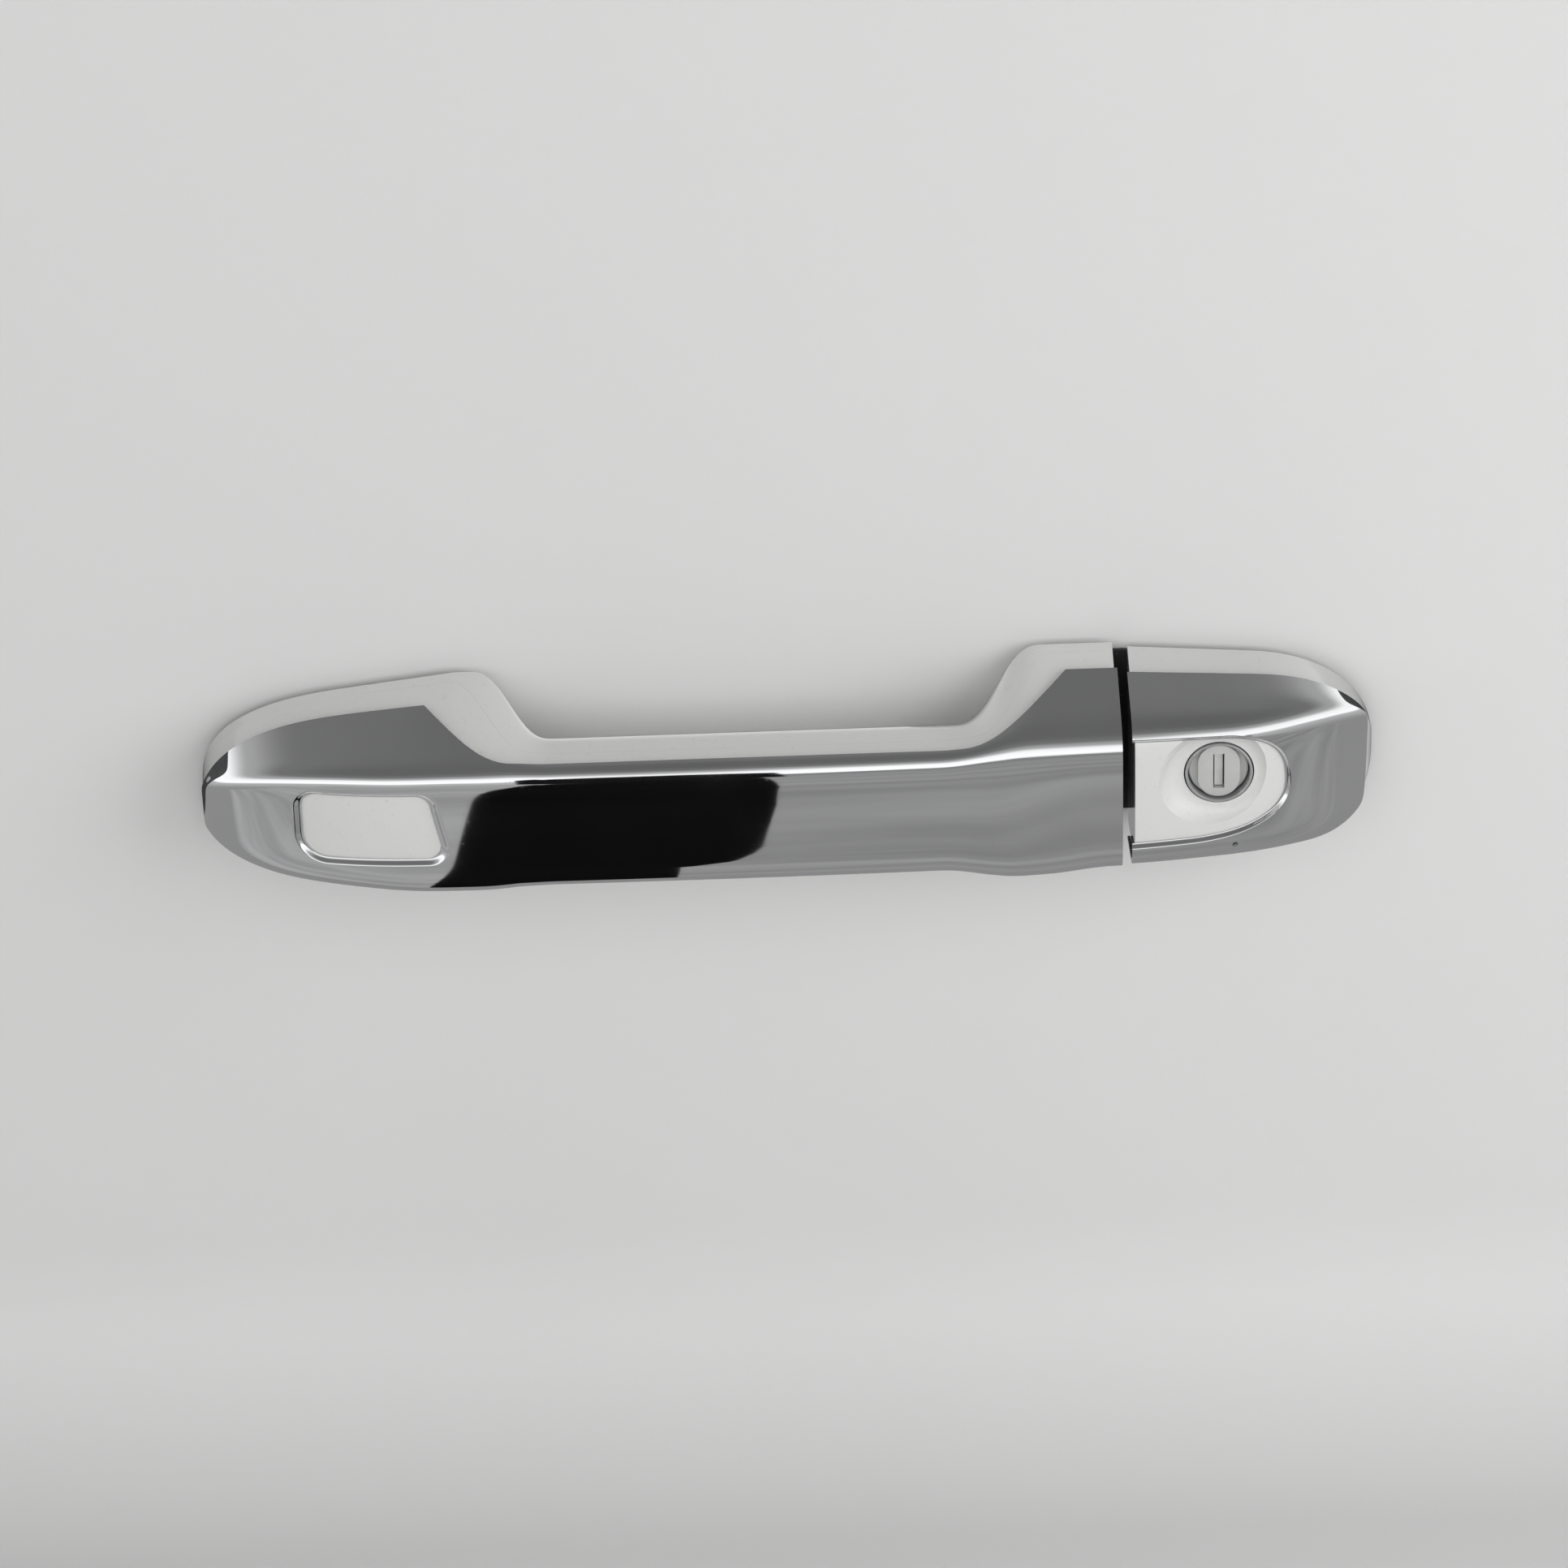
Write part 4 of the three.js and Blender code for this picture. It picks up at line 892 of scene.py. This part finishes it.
def innerShell():
    back = gripForm["end"] - shellForm["endInset"]
    outside = gripLoft(0, back)
    inside = gripLoft(-shellForm["wall"], back - shellForm["endWall"], 8, 5)
    pocket = carve("pocket", inside, ("DIFFERENCE", blockBeyond(floorY, floorForm["bends"], inwardY)))
    rim, strapBack = gripForm["rimY"], gripForm["strapBackY"]
    hookOutline = [(-158, rim - 2.2), (-158, 3), (-161, 12), (-188, hingeForm["y"] + 4.4)]
    hookOutline += [(-188, hingeForm["y"] - 4.2), (-176, 6), (-174, rim - 2.2)]
    half = hingeForm["half"]
    eye = circle((hingeForm["x"], hingeForm["y"]), hingeForm["eye"])
    pin = circle((hingeForm["x"], hingeForm["y"]), hingeForm["radius"] + 0.3)
    bladeOutline = roundedBox(armForm["left"], armForm["right"], armForm["low"], armForm["high"], 0.8, 4)
    blade = plateMesh("blade", "y", bladeOutline, -14, armForm["end"], 0.6)
    fingerY, low = armForm["fingerY"], armForm["low"]
    across = (armForm["left"] - 1, armForm["right"] + 1)
    notch = boxMesh("notch", across, (fingerY - 3.9, fingerY + 3.6), (low - 1, 11.6))
    lead = [(10, low - 1), (fingerY - 3.8, low - 1), (fingerY - 3.8, 7), (16, low + 2)]
    outward = beyondParting(partingForm["clearance"], outwardY)
    steps = [("DIFFERENCE", outward), ("DIFFERENCE", pocket)]
    for x in screwPlaces:
        steps.append(("UNION", rodY(x, 0, 4.6, partingY(x) + 0.15, strapBack - 0.6)))
    steps.append(("UNION", plateMesh("hook", "z", hookOutline, -half, half, 0.5)))
    steps.append(("UNION", plateMesh("eye", "z", eye, -half, half, 0.5)))
    steps.append(("DIFFERENCE", plateMesh("pinHole", "z", pin, -20, 20)))
    steps.append(("UNION", blade))
    steps.append(("DIFFERENCE", notch))
    steps.append(("DIFFERENCE", plateMesh("lead", "x", lead, *across)))
    for x in screwPlaces:
        steps.append(("DIFFERENCE", rodY(x, 0, 1.9, -26, -10)))
        steps.append(("DIFFERENCE", rodY(x, 0, 3.5, strapBack - 3, -10)))
    return followForm(carve("gripInnerShell", outside.copy(), *steps), outside)


piece("gripOuterShell", outerShell(), "grip", "white_paint", "grip_outer_shell")
piece("gripInnerShell", innerShell(), "grip", "white_paint", "grip_inner_shell")
print("grip shells made")

# ---- end cap ----


def openingOutline(spreadBy):
    top, low = openingForm["top"] + spreadBy, openingForm["low"] - spreadBy
    end = openingForm["depth"] + spreadBy
    t = np.linspace(0, 1, 40)[1:]

    def bend(*handles):
        weights = [(1 - t) ** 3, 3 * t * (1 - t) ** 2, 3 * t * t * (1 - t), t**3]
        along = [sum(weight * point[k] for weight, point in zip(weights, handles)) for k in (0, 1)]
        return [tuple(row) for row in np.column_stack(along)]

    outline = [(-6, low), (13, low + 0.3)]
    outline += bend((13, low + 0.3), (25, low + 0.8), (end, -5), (end, 2))
    outline += bend((end, 2), (end, 9.5), (29.5 + spreadBy, top - 1.6), (20, top - 0.7))
    outline.append((-6, top))
    return outline


def openingLevel(share, lift):
    return openingOutline(openingForm["bevel"] * (1 - share)), lift


def capCover():
    outside = capLoft(coverForm["rise"], capForm["start"])
    under = capLoft(coverForm["rise"] - coverForm["sheet"], capForm["start"] - 4, 10, 6)
    ribSpread = openingForm["bevel"] + 0.4
    rib = ringsOnFace([(openingOutline(ribSpread), 1.3), (openingOutline(ribSpread), 0.45)], capFace)
    keep = boxMesh("keep", (capForm["start"], 60), (-60, 0), (-30, 30))
    ribMesh = carve(
        "rib",
        loftMesh("rib", rib),
        ("INTERSECT", keep),
        ("DIFFERENCE", capLoft(coverForm["lipGap"], capForm["start"] - 2, 10, 6)),
    )
    levels = lipLevels(openingLevel, 12.0, (-0.3, -0.35), (-0.5, -4.0))
    roll = loftMesh("openingRoll", ringsOnFace(levels, capFace))
    drain = rodY(21.7, -11.6, 0.6, -40, -10)
    cover = carve(
        "capChromeCover",
        outside.copy(),
        ("DIFFERENCE", under),
        ("DIFFERENCE", boxMesh("below", (-5, 60), (coverForm["edgeCap"], 10), (-cutDepth, cutDepth))),
        ("UNION", ribMesh),
        ("DIFFERENCE", roll),
        ("DIFFERENCE", drain),
    )
    return followForm(cover, outside)


def capBody():
    start = capForm["start"] + shellForm["endInset"]
    wall, endWall = shellForm["wall"], shellForm["endWall"]
    outside = capLoft(0, start)
    inside = capLoft(-wall, start + endWall, 8, 5)
    at = (keyForm["x"], keyForm["z"])
    openBack = carve(
        "openBack",
        boxMesh("openBack", (start + endWall, 60), (gripForm["rimY"] - 1, 4), (-cutDepth, cutDepth)),
        ("INTERSECT", capLoft(-wall, start + endWall, 8, 5)),
    )
    socketRod = rodY(*at, keyForm["hole"] + 1.8, -26, gripForm["rimY"] - 4)
    socket = carve("socket", socketRod, ("INTERSECT", capLoft(0, start)))
    # the dish falls from the face in one smooth sweep to the ring round the key
    sweep = [(15.8, -cutDepth)]
    for t in np.linspace(0, 1, 20):
        depth = keyForm["dishY"] - keyForm["dishFall"] * (1 - t) ** 2.2
        sweep.append((mix(keyForm["dishReach"], keyForm["hole"] + 0.1, t), depth))
    dish = latheMesh("dish", [(0, -cutDepth), *sweep, (0, keyForm["dishY"])], at)
    hole = rodY(*at, keyForm["hole"], -cutDepth, 5)
    # a thicker disc behind the face keeps the dish from breaking through the wall
    backing = carve("dishBacking", rodY(*at, 12.6, -27.4, -22.4), ("INTERSECT", capLoft(0, start)))
    body = carve(
        "endCap",
        outside.copy(),
        ("DIFFERENCE", inside),
        ("DIFFERENCE", openBack),
        ("UNION", socket),
        ("UNION", backing),
        ("DIFFERENCE", dish),
        ("DIFFERENCE", hole),
    )
    return followForm(body, outside)


piece("capCover", capCover(), "chassis", "chrome_cover", "end_cap_chrome_cover")
piece("endCap", capBody(), "chassis", "white_paint", "end_cap")
print("end cap made")

# ---- key cylinder ----


def lockHousing():
    at = (keyForm["x"], keyForm["z"])
    seat, bore, ring = keyForm["face"] + 0.3, keyForm["plug"] + 0.3, keyForm["ring"]
    front = keyForm["ringY"]
    profile = [(seat, front + 0.15), (seat + 0.12, front), (ring - 0.2, front), (ring, front + 0.2)]
    profile += [(ring, -3), (7.6, -2), (7.6, 27.6), (7.2, 28)]
    profile += [(bore, 28), (bore, front + 4.1), (seat, front + 4.1)]
    lug = carve(
        "lug",
        plateMesh("lug", "x", roundedBox(7, 17, 0, 10, 1.2, 5), at[0] + 6.6, at[0] + 16.4, 0.5),
        ("DIFFERENCE", rodY(*at, keyForm["plug"] + 1.2, 0, 30)),
    )
    screwHole = plateMesh("screwHole", "x", circle((12, 4.9), 2.4), at[0] + 9.4, at[0] + 20)
    turned = latheMesh("housing", profile, at)
    return smoothed(carve("lockHousing", turned, ("UNION", lug), ("DIFFERENCE", screwHole)))


def lockPlug():
    x, z = keyForm["x"], keyForm["z"]
    face, plug = keyForm["face"], keyForm["plug"]
    front = keyForm["faceY"] + 1
    profile = [(0, front), (face - 0.25, front), (face, front + 0.2), (face, front + 2), (plug, front + 2)]
    profile += [(plug, 28.2), (plug - 0.4, 28.6)]
    profile += [(3, 28.6), (3, 36), (2.6, 36.4), (0, 36.4)]
    tongueOutline = roundedBox(x - 4.4, x + 4.4, z - 6.1, z + 6.1, 4.3, 16)
    tongue = plateMesh("tongue", "y", tongueOutline, keyForm["faceY"], front + 0.2, 0.22)
    keyway = boxMesh("keyway", (x - 1.15, x + 1.15), (keyForm["faceY"] - 1, -12), (z - 4.1, z + 4.1))
    flat = boxMesh("flat", (x + 1.9, x + 4), (31.9, 37), (z - 4, z + 4))
    turned = latheMesh("plug", profile, (x, z))
    steps = [("UNION", tongue), ("DIFFERENCE", keyway), ("DIFFERENCE", flat)]
    return smoothed(carve("lockPlug", turned, *steps))


def cylinderSeal():
    at = (keyForm["x"], keyForm["z"])
    inner, outer = keyForm["ring"] + 0.15, keyForm["hole"] + 1.8
    profile = [(inner, -6.4), (outer - 0.4, -6.4), (outer, -6.0)]
    profile += [(outer, -4.6), (outer - 0.4, -4.2), (inner, -4.2)]
    return smoothed(latheMesh("cylinderSeal", profile, at))


piece("lockHousing", lockHousing(), "chassis", "cast_zinc", "lock_housing")
piece("lockPlug", lockPlug(), "key_plug", "lock_face", "lock_plug")
piece("cylinderSeal", cylinderSeal(), "chassis", "pad_rubber", "cylinder_seal")
print("key cylinder made")

# ---- stage: pale sweep, lights, camera ----

stageLook = {
    "wall": (0.735, 0.735, 0.732),
    "wallY": -0.0004,
    "floorZ": -0.17,
    "middleX": -0.07,
    "halfWidth": 0.9,
    "height": 0.55,
    "depth": 1.3,
    "bendRadius": 0.05,
}


def sweepMesh():
    middle, half = stageLook["middleX"], stageLook["halfWidth"]
    wallY, floorZ, bend = stageLook["wallY"], stageLook["floorZ"], stageLook["bendRadius"]
    line = [(wallY, stageLook["height"])]
    for t in np.linspace(0, math.pi / 2, 24):
        line.append((wallY - bend * (1 - math.cos(t)), floorZ + bend * (1 - math.sin(t))))
    line.append((-stageLook["depth"], floorZ))
    points, faces = [], []
    for y, z in line:
        points += [(middle - half, y, z), (middle + half, y, z)]
    for i in range(len(line) - 1):
        a = 2 * i
        faces.append((a, a + 2, a + 3, a + 1))
    mesh = bpy.data.meshes.new("paleSweep")
    mesh.from_pydata(points, [], faces)
    mesh.shade_smooth()
    return mesh


def sweepFinish():
    # seen only from the front, so the back of the handle can be looked at through it
    material, tree, shader = newFinish("paleSweep")
    drift = effect(tree, handlingHaze, -700, 200, Haze_Size=0.3, Dust_Size=0.002, Amount=0.5)
    soft = tuple(c * 0.96 for c in stageLook["wall"])
    colour = blendColours(tree, drift.outputs["Haze"], stageLook["wall"], soft, -300, 200)
    link(tree, colour, shader.inputs["Base Color"])
    shader.inputs["Roughness"].default_value = 0.45
    shader.inputs["Coat Weight"].default_value = 0.25
    shader.inputs["Coat Roughness"].default_value = 0.2
    side = place(tree, "ShaderNodeNewGeometry", -300, 500)
    clear = place(tree, "ShaderNodeBsdfTransparent", 0, 300)
    choose = place(tree, "ShaderNodeMixShader", 300, 300)
    link(tree, side.outputs["Backfacing"], choose.inputs[0])
    link(tree, shader.outputs[0], choose.inputs[1])
    link(tree, clear.outputs[0], choose.inputs[2])
    link(tree, choose.outputs[0], tree.nodes["Material Output"].inputs["Surface"])
    return material


sweep = bpy.data.objects.new("paleSweep", sweepMesh())
bpy.context.scene.collection.objects.link(sweep)
sweep.data.materials.append(sweepFinish())
sweep.visible_glossy = False

# cards that only the bright work mirrors; corners are (across, out) on the floor or (across, up) upright
cardLooks = {
    "darkFloorCard": {
        "upright": False,
        "at": -0.1600,
        "corners": ((-0.158, -0.06), (-0.158, -0.95), (-0.066, -0.95), (-0.067, -0.36), (-0.069, -0.29),
                    (-0.074, -0.235), (-0.083, -0.20), (-0.096, -0.18), (-0.096, -0.06)),
        "levels": (0.003, 0.006),
    },
    "darkUprightCard": {
        "upright": True,
        "at": -0.95,
        "corners": ((-0.175, -0.16), (-0.055, -0.16), (-0.06, 0.13),
                    (-0.10, 0.21), (-0.15, 0.20), (-0.175, 0.10)),
        "levels": (0.004, 0.01),
    },
    "greyFloorCard": {
        "upright": False,
        "at": -0.1615,
        "corners": ((-0.158, -0.06), (-0.158, -0.95), (0.45, -0.95), (0.45, -0.06)),
        "levels": (0.16, 0.42),
    },
    "paleFloorCard": {
        "upright": False,
        "at": -0.1625,
        "corners": ((-0.55, -0.06), (-0.55, -0.95), (-0.15, -0.95), (-0.15, -0.06)),
        "levels": (0.18, 0.55),
    },
    "greyUprightCard": {
        "upright": True,
        "at": -0.96,
        "corners": ((-0.06, -0.16), (0.5, -0.16), (0.5, -0.03), (0.2, -0.01), (0.1, -0.035), (-0.06, -0.02)),
        "levels": (0.16, 0.34),
    },
}


def cardFinish(name, low, high):
    # slow streaks along the handle, so the mirrored ground isn't one flat tone
    material = bpy.data.materials.new(name)
    material.use_nodes = True
    tree = material.node_tree
    tree.nodes.remove(tree.nodes["Principled BSDF"])
    where = place(tree, "ShaderNodeTexCoord", -900, 0)
    stretch = place(tree, "ShaderNodeMapping", -700, 0)
    stretch.inputs["Scale"].default_value = (5, 26, 26)
    noise = place(tree, "ShaderNodeTexNoise", -500, 0)
    noise.inputs["Scale"].default_value = 1.0
    noise.inputs["Detail"].default_value = 4
    glow = place(tree, "ShaderNodeEmission", 0, 0)
    link(tree, where.outputs["Object"], stretch.inputs["Vector"])
    link(tree, stretch.outputs["Vector"], noise.inputs["Vector"])
    colour = blendColours(tree, noise.outputs["Fac"], (low,) * 3, (high,) * 3, -250, 0)
    link(tree, colour, glow.inputs["Color"])
    link(tree, glow.outputs[0], tree.nodes["Material Output"].inputs["Surface"])
    return material


def addCard(name, upright, at, corners, levels):
    points = [(across, at, run) if upright else (across, run, at) for across, run in corners]
    mesh = bpy.data.meshes.new(name)
    mesh.from_pydata(points, [], [tuple(range(len(points)))])
    mesh.materials.append(cardFinish(name, *levels))
    card = bpy.data.objects.new(name, mesh)
    bpy.context.scene.collection.objects.link(card)
    card.visible_camera = False
    card.visible_diffuse = False
    card.visible_shadow = False
    card.visible_transmission = False


for cardName, card in cardLooks.items():
    addCard(cardName, **card)

lightLooks = {
    "softTop": {"at": (-0.3, -0.95, 0.75), "size": (1.1, 0.8), "power": 2.3},
    "softRight": {"at": (0.75, -0.6, 0.35), "size": (0.6, 0.8), "power": 4.2},
    "backFill": {"at": (0.1, 0.9, 0.5), "size": (0.9, 0.9), "power": 5.0},
}
lightAim = (-0.07, -0.01, 0)


def addLight(name, at, size, power):
    light = bpy.data.lights.new(name, "AREA")
    light.shape = "RECTANGLE"
    light.size, light.size_y = size
    light.energy = power
    lamp = bpy.data.objects.new(name, light)
    bpy.context.scene.collection.objects.link(lamp)
    lamp.location = at
    aim = Vector(lightAim) - Vector(at)
    lamp.rotation_euler = aim.to_track_quat("-Z", "Y").to_euler()
    lamp.visible_glossy = False


for lightName, look in lightLooks.items():
    addLight(lightName, **look)

skyLook = {
    "strength": 0.92,
    "stops": (
        (0.0, 0.3),
        (0.3, 0.32),
        (0.46, 0.55),
        (0.52, 1.3),
        (0.64, 1.2),
        (0.78, 0.45),
        (0.9, 0.2),
        (1.0, 0.15),
    ),
}


def makeSky():
    # soft room: brightest round the horizon, darker overhead
    world = bpy.data.worlds.new("softRoom")
    bpy.context.scene.world = world
    world.use_nodes = True
    tree = world.node_tree
    background = tree.nodes["Background"]
    background.inputs["Strength"].default_value = skyLook["strength"]
    where = place(tree, "ShaderNodeTexCoord", -900, 0)
    parts = place(tree, "ShaderNodeSeparateXYZ", -700, 0)
    link(tree, where.outputs["Generated"], parts.inputs[0])
    height = spread(tree, parts.outputs["Z"], 0, 1, -500, 0)
    height.node.inputs["From Min"].default_value = -1
    ramp = place(tree, "ShaderNodeValToRGB", -300, 0)
    ramp.color_ramp.interpolation = "EASE"
    stops = skyLook["stops"]
    while len(ramp.color_ramp.elements) < len(stops):
        ramp.color_ramp.elements.new(0.5)
    for element, (at, level) in zip(ramp.color_ramp.elements, stops):
        element.position = at
        element.color = (level, level, level, 1)
    link(tree, height, ramp.inputs["Fac"])
    link(tree, ramp.outputs["Color"], background.inputs["Color"])


makeSky()

cameraLook = {
    "azimuth": -0.37,
    "elevation": 30.86,
    "roll": -1.77,
    "distance": 1.5,
    "target": (-0.0715, -0.015, 0.0),
    "lens": 94.56 * 1.75,
    "sensor": 36.0,
}


def addCamera():
    azimuth, elevation = math.radians(cameraLook["azimuth"]), math.radians(cameraLook["elevation"])
    level = Vector((-math.sin(azimuth), math.cos(azimuth), 0))
    ahead = level * math.cos(elevation) - Vector((0, 0, math.sin(elevation)))
    right = ahead.cross(Vector((0, 0, 1))).normalized()
    up = right.cross(ahead)
    roll = math.radians(cameraLook["roll"])
    leaning = right * math.cos(roll) + up * math.sin(roll)
    lifted = leaning.cross(ahead)
    data = bpy.data.cameras.new("mainView")
    data.lens = cameraLook["lens"]
    data.sensor_width = cameraLook["sensor"]
    data.clip_start, data.clip_end = 0.05, 20
    camera = bpy.data.objects.new("mainView", data)
    bpy.context.scene.collection.objects.link(camera)
    turn = Matrix((leaning, lifted, -ahead)).transposed().to_4x4()
    stand = Vector(cameraLook["target"]) - ahead * cameraLook["distance"]
    camera.matrix_world = Matrix.Translation(stand) @ turn
    bpy.context.scene.camera = camera


addCamera()
bpy.context.scene.view_settings.view_transform = "Standard"
print("stage set")
